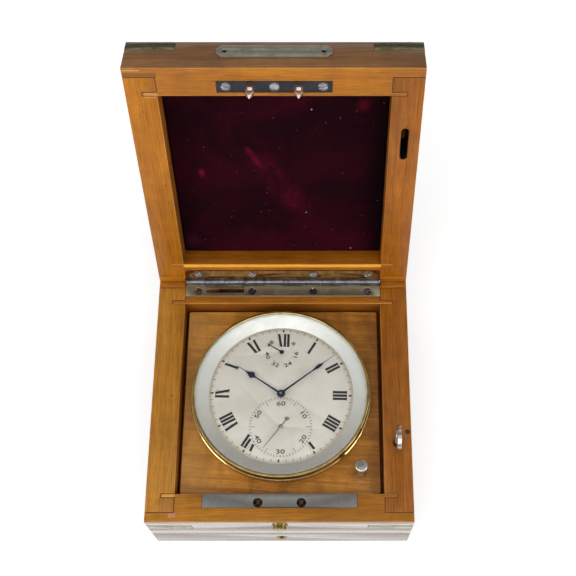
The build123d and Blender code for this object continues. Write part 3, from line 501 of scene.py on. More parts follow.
# grain direction of each rail: along X, along Y, and both again on the opened lid
grainTurn = {
    "cross": (0, 0, 0),
    "deep": (0, 0, math.radians(90)),
    "lidCross": (-lidPose["open"], 0, 0),
    "lidDeep": (-lidPose["open"], 0, math.radians(90)),
    "board": (0, 0, math.radians(4)),
}
woodTones = {
    # the left rims' tone is painted lighter, and the right rims' and the lid's right rail's (lidRight) tones
    # darker: painted light falling from the left
    "rimLeft": ((206, 142, 46), (148, 94, 22)),
    "rimRight": ((182, 110, 26), (122, 66, 8)),
    "rimFront": ((198, 132, 36), (138, 84, 14)),
    "rimRear": ((190, 116, 22), (134, 76, 10)),
    "lidRim": ((194, 122, 12), (142, 80, 6)),
    "lidRight": ((180, 106, 16), (126, 68, 6)),
    "inside": ((176, 104, 26), (116, 62, 8)),
    "innerWall": ((186, 112, 24), (128, 70, 8)),
    "outside": ((114, 80, 34), (84, 56, 22)),
    "lidOutside": ((158, 108, 60), (118, 78, 40)),
    "worn": ((214, 160, 84), (160, 104, 42)),
    "joint": ((126, 76, 24), (98, 56, 14)),
    # near black: painted shade for the inner faces of the key slot
    "hollow": ((30, 16, 6), (18, 9, 3)),
    "board": ((226, 156, 58), (150, 90, 20)),
}
woodGloss = {
    "outside": {"rough": 0.3, "coat": 1.0, "coatRough": 0.1, "figure": 0.15, "bands": 0.2, "streaks": 0.3,
                "stain": 0.15, "pores": 0.3, "bump": 0.004},
    "lidOutside": {"rough": 0.5, "coat": 0.22, "coatRough": 0.12, "stain": 0.35},
    "worn": {"coat": 0.2, "coatRough": 0.2},
    "inside": {"rough": 0.5, "stain": 0.45},
    "board": {"rough": 0.36, "coat": 0.45, "coatRough": 0.16, "figure": 0.4, "stain": 0.45, "bands": 0.5,
              "streaks": 0.45},
}
tierPatches = [
    # centre, reach and softness in mm, colour, amount: plug, cheek, tongue, nick, dark round spot beside the key
    ((-67.8, -80.5), (2.3, 1.45), 0.3, (188, 130, 92), 0.9),
    ((-71.2, -74.0), (4.2, 4.5), 0.4, (160, 100, 54), 0.5),
    ((-71.0, -68.2), (4.1, 1.2), 0.3, (214, 160, 74), 0.8),
    ((-71.9, -0.3), (0.5,), 0.3, (60, 30, 10), 0.85),
    ((82.5, -25.4), (1.6,), 0.5, (40, 20, 8), 0.92),
]
frontShade = ((70, -76), (50, 12), 40, (120, 66, 8), 0.35)
lidPatches = [
    ((-75.4, -80.2), (9.8, 1.5), 0.3, (112, 62, 14), 0.75),
    ((-66.9, -74.0), (0.25, 4.5), 0.2, (104, 58, 12), 0.85),
    ((-70.5, -67.4), (4.0, 1.9), 0.3, (204, 146, 84), 0.6),
    ((-76.4, -56.0), (0.45,), 0.3, (60, 30, 8), 0.85),
    ((-70.3, -1.6), (0.5,), 0.3, (60, 30, 8), 0.85),
    ((-79.5, -83.2), (4.5, 0.15), 0.2, (244, 206, 130), 0.7),
    ((0, 68.3), (67, 1.2), 0.25, (250, 176, 62), 0.85),
]
# painted light on the board: lighter towards the left and darker towards the right, as light falls from the left
boardPaintedLight = [
    ((-76, 0), (24, 90), 26, (240, 186, 104), 0.35),
    ((76, 20), (24, 60), 34, (104, 56, 10), 0.4),
]
patchesOf = {"rimLeft": tierPatches, "rimFront": tierPatches + [frontShade], "rimRight": tierPatches,
             "lidRim": lidPatches, "board": boardPaintedLight}
madeWood = {}


def wood(tone, direction):
    # One finish for each tone and way of the grain.
    if (tone, direction) not in madeWood:
        name = tone + direction[0].upper() + direction[1:]
        madeWood[tone, direction] = woodFinish(name, *woodTones[tone], grainTurn[direction],
                                               patches=patchesOf.get(tone, ()), onLid="lid" in direction,
                                               **woodGloss.get(tone, {}))
    return madeWood[tone, direction]


# wooden case: its sizes in mm with the lid closed, and the slots of a rail's finishes
caseShape = {"half": 85, "inner": 66.7, "bodyEnds": (0, 57), "lidEnds": (57, 82.5), "near": 0.6,
             "slotX": (67.5, 84.2), "slotY": 60, "edge": 0.35}
zones = {"outside": 0, "rim": 1, "inside": 2, "worn": 3, "joint": 4, "hollow": 5}
squareOn = 0.7


def paintZones(piece, outward, up):
    # Outer, rim and inner faces. Edges are worn where hands reach them, and dark lines where rails meet. The inner
    # faces of the key slot in the lid's right rail get painted shade, near black.
    onLid = piece.name.startswith("lid")
    back = lidTurn.inverted() if onLid else Matrix.Identity(4)
    half, near = caseShape["half"], caseShape["near"]
    levels = caseShape["lidEnds" if onLid else "bodyEnds"]
    slotFrom, slotTo = caseShape["slotX"]
    for face in piece.data.polygons:
        spot = (back @ face.center) / mm
        if face.material_index == zones["worn"]:
            atEnd = min(abs(spot.z - level) for level in levels) < near
            planes = [abs(abs(spot.x) - half) < near, abs(abs(spot.y) - half) < near, atEnd]
            inner = abs(max(abs(spot.x), abs(spot.y)) - caseShape["inner"]) < near and atEnd
            if sum(planes) < 2 and not inner:
                face.material_index = zones["rim" if onLid and spot.y > 0 else "joint"]
        elif face.normal.dot(outward) > squareOn or onLid and spot.z > levels[1] - near:
            face.material_index = zones["outside"]
        elif face.normal.dot(up) > squareOn:
            face.material_index = zones["rim"]
        elif piece.name == "lidRight" and slotFrom < spot.x < slotTo and abs(spot.y) < caseShape["slotY"]:
            face.material_index = zones["hollow"]
        else:
            face.material_index = zones["inside"]


woodParts = [
    # node, rim tone, grain, outward with the lid closed
    ("base_front_wall", "rimFront", "cross", (0, -1, 0)),
    ("base_rear_wall", "rimRear", "cross", (0, 1, 0)),
    ("base_left_wall", "rimLeft", "deep", (-1, 0, 0)),
    ("base_right_wall", "rimRight", "deep", (1, 0, 0)),
    ("bottom_panel", "inside", "cross", (0, 0, -1)),
    ("tier_front_wall", "rimFront", "cross", (0, -1, 0)),
    ("tier_rear_wall", "rimRear", "cross", (0, 1, 0)),
    ("tier_left_wall", "rimLeft", "deep", (-1, 0, 0)),
    ("tier_right_wall", "rimRight", "deep", (1, 0, 0)),
    ("lid_front_rail", "lidRim", "lidCross", (0, -1, 0)),
    ("lid_rear_rail", "lidRim", "lidCross", (0, 1, 0)),
    ("lid_left_rail", "lidRim", "lidDeep", (-1, 0, 0)),
    ("lid_right_rail", "lidRight", "lidDeep", (1, 0, 0)),
    ("lid_panel", "inside", "lidCross", (0, 0, 1)),
]
for node, rim, direction, outward in woodParts:
    onLid = node.startswith("lid")
    tones = ["lidOutside" if onLid else "outside", rim, "innerWall" if node == "lid_rear_rail" else "inside",
             "worn", "joint", "hollow"]
    rail = softCopy(node, caseShape["edge"], [wood(tone, direction) for tone in tones], clamp=False,
                    edgeSlot=zones["worn"])
    if onLid:
        paintZones(rail, lidWay(outward), lidWay(-upright))
    else:
        paintZones(rail, Vector(outward), upright)
softCopy("board_ledges", 0.3, [wood("inside", "cross")])
print("wooden case made")

# the board's outer edges are rounded, and the edges of its holes stay as they are, under the bezel and knob
boardShape = {"outside": 65, "round": 0.6, "sharp": 0.5}
board = copyOf("board", "boardTop", False)
pick(board, "EDGE", lambda edge: edge.calc_face_angle(0) > boardShape["sharp"]
     and all(max(abs(vert.co.x), abs(vert.co.y)) > boardShape["outside"] * mm for vert in edge.verts))
bpy.ops.mesh.bevel(offset=boardShape["round"] * mm, segments=2, affect="EDGES", clamp_overlap=False)
leaveEdit()
smooth(board, 15)
boardWood = woodFinish("boardWood", *woodTones["board"], grainTurn["board"], patches=boardPaintedLight,
                       **woodGloss["board"])
dressed(board, "board", [boardWood])
print("board made")


# velvet lining of the lid, a sheet with its rim turned down
velvetShape = {"half": 66.5, "face": 69.15, "turnDown": 3.1, "fold": 1.6, "cells": 56, "unevenness": 0.5,
               "hills": 0.03}
bpy.ops.mesh.primitive_grid_add(x_subdivisions=velvetShape["cells"], y_subdivisions=velvetShape["cells"],
                                size=2 * velvetShape["half"] * mm, location=(0, 0, velvetShape["face"] * mm))
velvet = made("velvetLining")
settle(velvet)
pick(velvet, "EDGE", lambda edge: edge.is_boundary)
bpy.ops.mesh.extrude_edges_move(TRANSFORM_OT_translate={"value": (0, 0, velvetShape["turnDown"] * mm)})
selectAll()
bpy.ops.mesh.normals_make_consistent(inside=False)
leaveEdit()
softenEdges(velvet, velvetShape["fold"], segments=4, angle=50)
hills = bpy.data.textures.new("velvetHills", "CLOUDS")
hills.noise_scale = velvetShape["hills"]
configure(velvet.modifiers.new("sag", "DISPLACE"), texture=hills, texture_coords="LOCAL", direction="Z",
          strength=velvetShape["unevenness"] * mm, mid_level=0.5)
applyModifiers(velvet)
settle(velvet, lidTurn)
smooth(velvet, 60)
dressed(velvet, "lid_lining", [velvetFinish()])
print("velvet made")


metalTones = {
    # clean and dull colour, roughness of both, share of dull blotches, and what differs
    "polishedNickel": ((150, 150, 152), (118, 116, 112), 0.07, 0.2, 0.45, {"scratch": 0.25}),
    # the lid leaf's nickel is painted brown: a painted reflection of the wood of the lid
    "lidLeafNickel": ((162, 122, 82), (108, 78, 48), 0.04, 0.09, 0.7, {"scratch": 0.08, "depth": 0.00001}),
    # the knuckles are nickel painted darker than the leaves: a painted dark reflection
    "knuckleNickelDarkReflection": ((124, 124, 130), (74, 72, 70), 0.1, 0.24, 0.7, {}),
    "rimLeafNickel": ((184, 180, 156), (150, 144, 122), 0.3, 0.42, 0.6,
                      {"scratch": 0.2, "rubbed": ((-39.5, 78.2), (13, 3.0), 0.5)}),
    "satinNickel": ((138, 138, 135), (126, 124, 118), 0.6, 0.66, 0.3, {"scratch": 0.08}),
    "numberPlateMetal": ((172, 168, 150), (136, 130, 112), 0.36, 0.5, 0.6, {}),
    # one polished nickel in two copies: painted dark reflection on the plate, painted highlight on its edges and
    # hooks
    "hookMetal": ((54, 53, 56), (40, 39, 40), 0.06, 0.14, 0.4, {}),
    "hookBright": ((232, 220, 212), (206, 190, 180), 0.28, 0.38, 0.3, {}),
    "strapBronze": ((138, 132, 102), (94, 88, 66), 0.14, 0.34, 0.8, {"depth": 0.00006}),
    "agedBrass": ((150, 130, 76), (94, 80, 42), 0.16, 0.38, 0.7, {}),
    # dark iron as painted shade, for what is seen only through holes: lock body, latch slide, strike plate's hole
    # walls
    "lockIron": ((96, 90, 78), (60, 54, 44), 0.35, 0.55, 0.7, {}),
    "yellowBrass": ((232, 190, 96), (172, 128, 52), 0.14, 0.34, 0.5, {}),
    "bezelBrass": ((222, 198, 132), (150, 126, 76), 0.07, 0.2, 0.6, {}),
    "brightSteel": ((196, 198, 202), (150, 150, 152), 0.1, 0.25, 0.4, {}),
    "screwSteel": ((158, 158, 160), (96, 94, 92), 0.16, 0.36, 0.6, {}),
    "silveredRing": ((240, 239, 236), (228, 226, 219), 0.42, 0.5, 0.4, {"scratch": 0.06}),
    "bluedSteel": ((52, 62, 104), (30, 34, 62), 0.2, 0.32, 0.5, {"scratch": 0.15}),
    "keyNickel": ((206, 204, 198), (168, 162, 148), 0.12, 0.3, 0.5, {}),
    "giltBrass": ((226, 186, 104), (176, 136, 66), 0.28, 0.42, 0.4, {}),
}
metals = {name: metalFinish(name, *values, **more) for name, (*values, more) in metalTones.items()}

# CAD nodes that keep their own mesh, inside the case
# the lock body and latch slide are dark iron, painted shade, as they are seen only through the keyhole and the
# strike plate's holes
insideFinish = {"lock_body": "lockIron", "lock_bolt": "brightSteel", "lock_link_plate": "brightSteel",
                "latch_slide": "lockIron", "knob_nut": "yellowBrass", "bowl": "giltBrass",
                "pillar_plate": "giltBrass", "movement_pillars": "giltBrass", "back_plate": "giltBrass"}
for node, finish in insideFinish.items():
    nodes[node].data.materials.clear()
    nodes[node].data.materials.append(metals[finish])

# the latch's spring, which shortens as the button goes in, with a mesh of its own
latchSpring = copyOf("latch_spring", "latchSpring")
smooth(latchSpring, 40)
dressed(latchSpring, "latch_spring", [metals["brightSteel"]])
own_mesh(latchSpring)

metalParts = [
    # node, finish, edge in mm, and its segments where they aren't 2
    ("strike_plate", "satinNickel", 0.18),
    ("number_plate", "numberPlateMetal", 0.3),
    ("rim_hinge_leaf", "rimLeafNickel", 0.12),
    ("lid_hinge_leaf", "lidLeafNickel", 0.12),
    ("lid_hinge_pin", "brightSteel", 0.1),
    ("base_hinge_leaf", "polishedNickel", 0.12),
    ("tier_hinge_leaf", "polishedNickel", 0.12),
    ("tier_hinge_pin", "brightSteel", 0.1),
    ("tier_corner_straps", "strapBronze", 0.12),
    ("lid_corner_straps", "strapBronze", 0.12),
    ("key_escutcheon", "agedBrass", 0.12),
    ("button_collar", "agedBrass", 0.15),
    ("push_button", "agedBrass", 0.6, 4),
    ("lifting_knob", "keyNickel", 0.5, 4),
    ("winding_key", "keyNickel", 0.7, 4),
]
for node, finish, edge, *segments in metalParts:
    softCopy(node, edge, [metals[finish]], *segments)

# hook plate of polished nickel: the plate painted dark, a painted dark reflection, and its edges and two rounded
# hooks painted pale, a painted highlight
hookShape = {"below": 56.9, "edge": 0.25, "round": 0.7, "sharp": 0.5}


def onHook(spot):
    return (lidTurn.inverted() @ spot).z < hookShape["below"] * mm


hookPlate = copyOf("hook_plate", "hookPlate")
pick(hookPlate, "EDGE", lambda edge: all(onHook(vert.co) for vert in edge.verts)
     and edge.calc_face_angle(0) > hookShape["sharp"])
bpy.ops.mesh.bevel(offset=hookShape["round"] * mm, segments=3, affect="EDGES", clamp_overlap=True)
leaveEdit()
for finish in ("hookMetal", "hookBright"):
    hookPlate.data.materials.append(metals[finish])
softenEdges(hookPlate, hookShape["edge"], edgeSlot=1)
for face in hookPlate.data.polygons:
    if onHook(face.center):
        face.material_index = 1
smooth(hookPlate, 40)
dressed(hookPlate, "hook_plate")

# knuckles darker than the leaves, a painted dark reflection, and the walls of the strike plate's holes dark iron,
# painted shade so the holes look black
fittingShape = {"knuckle": 3.4, "plateEdge": 1, "upright": 0.5}
for name in ("rimHingeLeaf", "lidHingeLeaf"):
    leaf = bpy.data.objects[name]
    leaf.data.materials.append(metals["knuckleNickelDarkReflection"])
    for face in leaf.data.polygons:
        if (face.center - lidPivot).yz.length < fittingShape["knuckle"] * mm:
            face.material_index = 1
strikePlate = bpy.data.objects["strikePlate"]
strikePlate.data.materials.append(metals["lockIron"])
low, high = (Vector(corner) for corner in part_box("strike_plate"))
edge = fittingShape["plateEdge"] * mm
for face in strikePlate.data.polygons:
    if (abs(face.normal.z) < fittingShape["upright"] and low.x + edge < face.center.x < high.x - edge
            and low.y + edge < face.center.y < high.y - edge):
        face.material_index = 1
print("fittings made")


# slotted screws, in mm: a head's insets are each a width and a rise, and its slot keeps to the share "across"
screwShape = {"head": 2.8, "shank": 1.3, "cone": 1.2, "length": 9.0, "slotWidth": 0.7, "slotDepth": 0.55,
              "sides": 28, "shorter": 0.8, "level": 0.9,
              "flat": {"insets": [(0.16, 0.0)], "steepest": 0.9, "across": 0.6},
              "domed": {"insets": [(0.55, 0.2), (0.7, 0.1), (0.6, 0.03)], "steepest": 0.3, "across": 0.99}}


def islands(node):
    # The separate solids of a CAD node, each as its points.
    mesh = bmesh.new()
    mesh.from_mesh(nodes[node].data)
    bmesh.ops.remove_doubles(mesh, verts=mesh.verts, dist=weld)
    seen, groups = set(), []
    for first in mesh.verts:
        if first.index in seen:
            continue
        waiting, points = [first], []
        seen.add(first.index)
        while waiting:
            vert = waiting.pop()
            points.append(vert.co.copy())
            for edge in vert.link_edges:
                other = edge.other_vert(vert)
                if other.index not in seen:
                    seen.add(other.index)
                    waiting.append(other)
        groups.append(points)
    mesh.free()
    return groups


def screwHeads(node, axis, bothWays):
    # Centre, direction and radius of each head: the wider end of its solid.
    found = []
    for points in islands(node):
        ends = []
        for direction in (axis, -axis) if bothWays else (axis,):
            top = max(point.dot(direction) for point in points)
            rim = [point for point in points if point.dot(direction) > top - 0.05 * mm]
            centre = sum(rim, Vector()) / len(rim)
            ends.append((max((point - centre).length for point in rim), centre, direction))
        radius, centre, direction = max(ends, key=lambda end: end[0])
        found.append((centre, direction, radius))
    return found


def makeScrewModel(kind):
    shape, head = screwShape, screwShape[kind]
    bpy.ops.mesh.primitive_cone_add(vertices=shape["sides"], radius1=shape["shank"] * mm,
                                    radius2=shape["head"] * mm, depth=shape["cone"] * mm,
                                    location=(0, 0, -shape["cone"] / 2 * mm))
    screw = made(kind + "Screw")
    settle(screw)
    pick(screw, "FACE", lambda face: face.normal.z < -shape["level"])
    reach = (shape["length"] - shape["cone"]) * mm
    bpy.ops.mesh.extrude_region_move(TRANSFORM_OT_translate={"value": (0, 0, -reach)})
    pick(screw, "FACE", lambda face: face.normal.z > shape["level"])
    for thickness, depth in head["insets"]:
        bpy.ops.mesh.inset(thickness=thickness * mm, depth=depth * mm)
    half = shape["slotWidth"] / 2 * mm
    for side in (-1, 1):
        selectAll()
        bpy.ops.mesh.bisect(plane_co=(0, side * half, 0), plane_no=(0, 1, 0))
    pick(screw, "FACE", lambda face: face.normal.z > head["steepest"]
         and abs(face.calc_center_median().y) < half
         and face.calc_center_median().xy.length < shape["head"] * head["across"] * mm)
    bpy.ops.mesh.extrude_region_move(TRANSFORM_OT_translate={"value": (0, 0, -shape["slotDepth"] * mm)})
    leaveEdit()
    return screw


flatScrew = makeScrewModel("flat")
domedScrew = makeScrewModel("domed")


def setScrews(node, axis, slots, model=flatScrew, finish="screwSteel", bothWays=True, lift=-0.04):
    # Copies of the screw, set in the places of the CAD screws.
    name, copies = pieceName(node), []
    for number, (centre, direction, radius) in enumerate(screwHeads(node, axis, bothWays)):
        screw = linked(name + str(number), model.data.copy())
        size = radius / (screwShape["head"] * mm)
        place = (Matrix.Translation(centre + direction * lift * mm)
                 @ direction.to_track_quat("Z", "Y").to_matrix().to_4x4()
                 @ Matrix.Rotation(math.radians(slots[number % len(slots)]), 4, "Z")
                 @ Matrix.Diagonal((size, size, screwShape["shorter"], 1)))
        settle(screw, place)
        copies.append(screw)
    screws = joined(copies, name)
    smooth(screws, 30)
    dressed(screws, node, [metals[finish]])


lidFaces = lidWay(-upright)
setScrews("hook_plate_screws", lidFaces, (12, 95, 160), domedScrew, lift=-0.28)
setScrews("lid_hinge_screws", lidFaces, (70, 20, 130, 45), finish="brightSteel")
setScrews("number_plate_screws", lidWay((0, -1, 0)), (35, 120), domedScrew, "brightSteel", False, 0.02)
setScrews("tier_hinge_screws", upright, (15, 100, 60, 145, 80))
setScrews("base_hinge_screws", upright, (40, 110, 5, 75))
for model in (flatScrew, domedScrew):
    bpy.data.objects.remove(model)
print("screws set")


# turned pieces
def lathe(name, outline, steps):
    # A closed outline of (radius, height) points in mm, spun round the upright axis.
    bpy.ops.mesh.primitive_plane_add(size=0.001, location=(0, 0, 0))
    piece = made(name)
    pick(piece, "VERT", lambda vert: True)
    bpy.ops.mesh.merge(type="CENTER")
    selectAll()
    here = Vector((outline[0][0] * mm, 0, outline[0][1] * mm))
    bpy.ops.transform.translate(value=here)
    for radius, height in list(outline[1:]) + [outline[0]]:
        there = Vector((radius * mm, 0, height * mm))
        bpy.ops.mesh.extrude_vertices_move(TRANSFORM_OT_translate={"value": there - here})
        here = there
    selectAll()
    bpy.ops.mesh.remove_doubles(threshold=weld / 2)
    selectAll()
    bpy.ops.mesh.spin(steps=steps, angle=2 * math.pi, center=(0, 0, 0), axis=(0, 0, 1))
    selectAll()
    bpy.ops.mesh.remove_doubles(threshold=weld / 2)
    bpy.ops.mesh.normals_make_consistent(inside=False)
    leaveEdit()
    return piece


bezelShape = {
    "teeth": 272,
    "toothDepth": 0.987,
    "knurlFrom": 59.1,
    "knurlHeights": (55.2, 58.6),
    "outline": [(55.55, 50.6), (58.2, 50.6), (58.4, 50.8), (58.4, 54.6), (58.75, 55.0), (59.35, 55.3),
                (59.5, 55.6), (59.5, 58.0), (59.3, 58.45), (58.95, 58.7), (58.45, 59.1), (58.1, 59.6),
                (57.88, 60.3), (57.74, 61.3), (57.66, 62.4), (57.64, 63.4), (57.78, 63.75), (57.8, 64.1),
                (57.55, 64.42), (57.35, 64.46), (57.2, 64.2), (57.02, 64.46), (56.8, 64.5), (56.35, 64.46),
                (56.06, 64.3), (56.0, 63.95), (56.7, 63.9), (56.7, 58.0), (55.05, 58.0), (55.05, 55.0),
                (55.55, 55.0)],
}
bezelRing = lathe("bezelRing", bezelShape["outline"], bezelShape["teeth"] * 2)
stepAngle = math.pi / bezelShape["teeth"]


def knurlValley(vert):
    # Every other column of the coin edge.
    low, high = bezelShape["knurlHeights"]
    if vert.co.xy.length <= bezelShape["knurlFrom"] * mm or not low * mm < vert.co.z < high * mm:
        return False
    return round(math.atan2(vert.co.y, vert.co.x) / stepAngle) % 2 == 1


pick(bezelRing, "VERT", knurlValley)
bpy.ops.transform.resize(value=(bezelShape["toothDepth"], bezelShape["toothDepth"], 1), center_override=(0, 0, 0))
leaveEdit()
smooth(bezelRing, 22)
dressed(bezelRing, "bezel", [metals["bezelBrass"]])

reflectorOutline = [(47.5, 58.1), (50.2, 58.1), (50.2, 58.2), (54.7, 58.2), (54.7, 61.15), (56.3, 61.95),
                    (56.3, 62.4), (56.0, 62.4), (54.4, 61.75), (52.6, 60.85), (50.9, 60.0), (49.2, 59.2),
                    (48.0, 58.62), (47.5, 58.4)]
reflector = lathe("reflectorRing", reflectorOutline, 256)
smooth(reflector, 40)
dressed(reflector, "reflector_ring", [metals["silveredRing"]])

crystal = copyOf("bezel_glass", "watchCrystal")
smooth(crystal, 30)
dressed(crystal, "bezel_glass", [glassFinish()])
print("bezel, reflector and crystal made")


# dial and hands: the longer hands' fine tips, and the cap of the arbor above them, in mm
softCopy("dial", 0.05, [dialFinish()], clamp=False, name="dialPlate")
for node, finish in (("hour_hand", "bluedSteel"), ("minute_hand", "bluedSteel"), ("seconds_hand", "brightSteel"),
                     ("up_down_hand", "bluedSteel")):
    softCopy(node, 0.08, [metals[finish]])
handShape = {"tips": {"hourHand": 5.6, "minuteHand": 3.2}, "tipSize": 0.4, "point": 0.01}
for name, reach in handShape["tips"].items():
    hand = bpy.data.objects[name]
    longest = max(vert.co.xy.length for vert in hand.data.vertices)
    pick(hand, "VERT", lambda vert: vert.co.xy.length > longest - handShape["tipSize"] * mm)
    point = longest - handShape["point"] * mm
    tip = next(vert.co for vert in hand.data.vertices if vert.co.xy.length > point)
    way = Vector((tip.x, tip.y, 0)).normalized()
    bpy.ops.transform.translate(value=way * reach * mm)
    leaveEdit()
arborOutline = [(0, -0.2), (0.72, -0.2), (0.72, 0.14), (0.55, 0.26), (0, 0.3)]
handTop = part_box("minute_hand")[1][2] / mm
centreArbor = lathe("centreArbor", [(radius, handTop + height) for radius, height in arborOutline], 24)
smooth(centreArbor, 30)
dressed(centreArbor, None, [metals["brightSteel"]], nodes["minute_hand"]["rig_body"])

dialPrint = {
    "level": 58.035, "turn": 1.3, "band": (34.2, 43.2), "thick": 0.5, "serif": 0.32, "serifReach": 1.15,
    "seconds": (0, -22.5), "secondsClear": 21.0, "steps": 60, "shortest": 1, "upDown": (0, 30.0),
    "upDownHours": 56,
    # radius, width and steps of the circles, half length and width of the flags on the five seconds' marks
    "circle": (46.4, 0.12, 120), "secondsCircle": (20.4, 0.08, 80), "flag": (0.6, 0.2),
}
# marks: inner and outer radius, width, ink, and the width at the outer end where it differs
dialMarks = {
    "minute": (44.65, 46.3, 0.38, "fine"),
    "hour": (44.5, 46.5, 1.15, "bold", 0.95),
    "second": (19.0, 20.4, 0.34, "fine"),
    "fiveSeconds": (17.0, 20.4, 0.32, "fine"),
    "tenSeconds": (19.2, 20.2, 0.6, "bold"),
    "upDown": (7.2, 7.8, 0.2, "fine"),
}
# limbs of each letter: the place of its top and of its foot, and its width
limbsOf = {
    "I": [(0, 0, 1.7)],
    "V": [(-1.15, 0.05, 1.7), (1.25, -0.05, 0.2)],
    "X": [(-0.95, 0.95, 1.7), (1.25, -0.95, 0.2)],
}
# radius and height of the figures in the small dials
figures = {"seconds": (16.9, 3.0), "sixty": (15.9, 3.0), "upDown": (9.8, 2.7), "grow": 1.38, "fatten": 0.09,
           "wide": 1.45}
marks = {"bold": [], "fine": []}
bpy.ops.mesh.primitive_plane_add(size=1, location=(0, 0, 0))
markModel = made("markModel")
pick(markModel, "FACE", lambda face: True)
bpy.ops.mesh.subdivide(number_cuts=1)
leaveEdit()


def addStroke(start, end, width, kind="bold", endWidth=None):
    # A flat stroke between two points on the dial, in mm.
    start, end = Vector(start), Vector(end)
    along = end - start
    stroke = linked("mark", markModel.data.copy())
    side = Vector((-along.y, along.x)).normalized()
    for vert in stroke.data.vertices:
        share = vert.co.x + 0.5
        wide = width + ((endWidth or width) - width) * share
        spot = start + along * share + side * (vert.co.y * wide)
        vert.co = (spot.x * mm, spot.y * mm, dialPrint["level"] * mm)
    marks[kind].append(stroke)


def around(angle, radius, across=0.0, centre=(0, 0)):
    # A point at a clock angle and radius, shifted clockwise by across.
    turn = math.radians(angle)
    return (centre[0] + radius * math.sin(turn) + across * math.cos(turn),
            centre[1] + radius * math.cos(turn) - across * math.sin(turn))


def addMark(name, angle, centre=(0, 0)):
    inner, outer, *rest = dialMarks[name]
    addStroke(around(angle, inner, 0, centre), around(angle, outer, 0, centre), *rest)


def addNumeral(angle, letters, places):
    # The letters of one hour. They end where the seconds dial begins.
    inner, outer = dialPrint["band"]
    steps, reach = dialPrint["steps"], dialPrint["serifReach"]
    for kind, place in zip(letters, places):
        for top, foot, width in limbsOf[kind]:
            top, foot, low = place + top, place + foot, inner
            for step in range(steps):
                share = step / steps
                spot = Vector(around(angle, inner + (outer - inner) * share, foot + (top - foot) * share))
                if (spot - Vector(secondsCentre)).length < dialPrint["secondsClear"]:
                    low = inner + (outer - inner) * (share + 1 / steps)
            if low > outer - dialPrint["shortest"]:
                continue
            lowFoot = foot + (top - foot) * (low - inner) / (outer - inner)
            addStroke(around(angle, outer, top), around(angle, low, lowFoot), width)
            if width > dialPrint["thick"]:
                for radius, where in ((outer, top), (low, lowFoot)):
                    if not inner + 0.2 < radius < outer:
                        addStroke(around(angle, radius, where - reach), around(angle, radius, where + reach),
                                  dialPrint["serif"])


def addCircle(centre, radius, width, steps):
    for step in range(steps):
        first, second = 360 * step / steps, 360 * (step + 1) / steps
        addStroke(around(first, radius, 0, centre), around(second, radius, 0, centre), width, "fine")


def addNumber(number, angle, centre, radius, height):
    # Plain figures, feet to the middle of their circle above and heads to it below.
    bpy.ops.object.text_add(location=(0, 0, 0))
    configure(bpy.context.active_object.data, body=str(number), align_x="CENTER", align_y="CENTER",
              size=height * figures["grow"] * mm, offset=figures["fatten"] * mm, resolution_u=3)
    bpy.ops.object.convert(target="MESH")
    label = bpy.context.active_object
    spot = around(angle, radius, 0, centre)
    turn = angle + 180 if 90 < angle < 270 else angle
    place = (Matrix.Translation((spot[0] * mm, spot[1] * mm, dialPrint["level"] * mm))
             @ Matrix.Rotation(-math.radians(turn), 4, "Z") @ Matrix.Diagonal((figures["wide"], 1, 1, 1)))
    settle(label, place)
    marks["fine"].append(label)


secondsCentre, upDownCentre = dialPrint["seconds"], dialPrint["upDown"]
# the letters of each hour, and the place of each across the numeral
hours = {
    1: ("I", [0]), 2: ("II", [-1.15, 1.15]), 3: ("III", [-2.3, 0, 2.3]), 4: ("IIII", [-3.45, -1.15, 1.15, 3.45]),
    5: ("V", [0]), 7: ("VII", [-2.5, 0.6, 2.9]), 8: ("VIII", [-3.6, -0.6, 1.7, 4.0]), 9: ("IX", [-2.3, 1.0]),
    10: ("X", [0]), 11: ("XI", [-1.4, 2.0]), 12: ("XII", [-2.1, 1.15, 3.45]),
}
for hour, (letters, places) in hours.items():
    addNumeral(30 * hour + dialPrint["turn"], letters, places)
addCircle((0, 0), *dialPrint["circle"])
for minute in range(60):
    addMark("minute" if minute % 5 else "hour", 6 * minute + dialPrint["turn"])
addCircle(secondsCentre, *dialPrint["secondsCircle"])
for second in range(60):
    angle = 6 * second
    addMark({0: "tenSeconds", 5: "fiveSeconds"}.get(second % 10, "second"), angle, secondsCentre)
    if second % 10 == 5:
        inner, (half, width) = dialMarks["fiveSeconds"][0], dialPrint["flag"]
        addStroke(around(angle, inner, -half, secondsCentre), around(angle, inner, half, secondsCentre), width,
                  "fine")
for hour in range(0, dialPrint["upDownHours"], 2):
    if hour % 8:
        addMark("upDown", hour * 360 / dialPrint["upDownHours"], upDownCentre)
for number in range(10, 70, 10):
    addNumber(number, 6 * number, secondsCentre, *figures["sixty" if number == 60 else "seconds"])
for number in range(8, dialPrint["upDownHours"], 8):
    addNumber(number, number * 360 / dialPrint["upDownHours"], upDownCentre, *figures["upDown"])
bpy.data.objects.remove(markModel)
for kind, ink in (("bold", inkFinish("dialBlack", (15, 14, 13))), ("fine", inkFinish("dialGrey", (92, 78, 62)))):
    printed = joined(marks[kind], "dialMarks" + kind.capitalize())
    printed.data.materials.clear()
    dressed(printed, None, [ink], "board")
print("dial and hands made")


# floor, light and camera
stageValues = {"floorSize": 8.0, "white": 0.92, "sides": 0.72, "behind": 0.18, "ahead": 0.22, "zenith": 0.24,
               "floorGlow": 0.36, "aim": (0, 0, 0.05)}


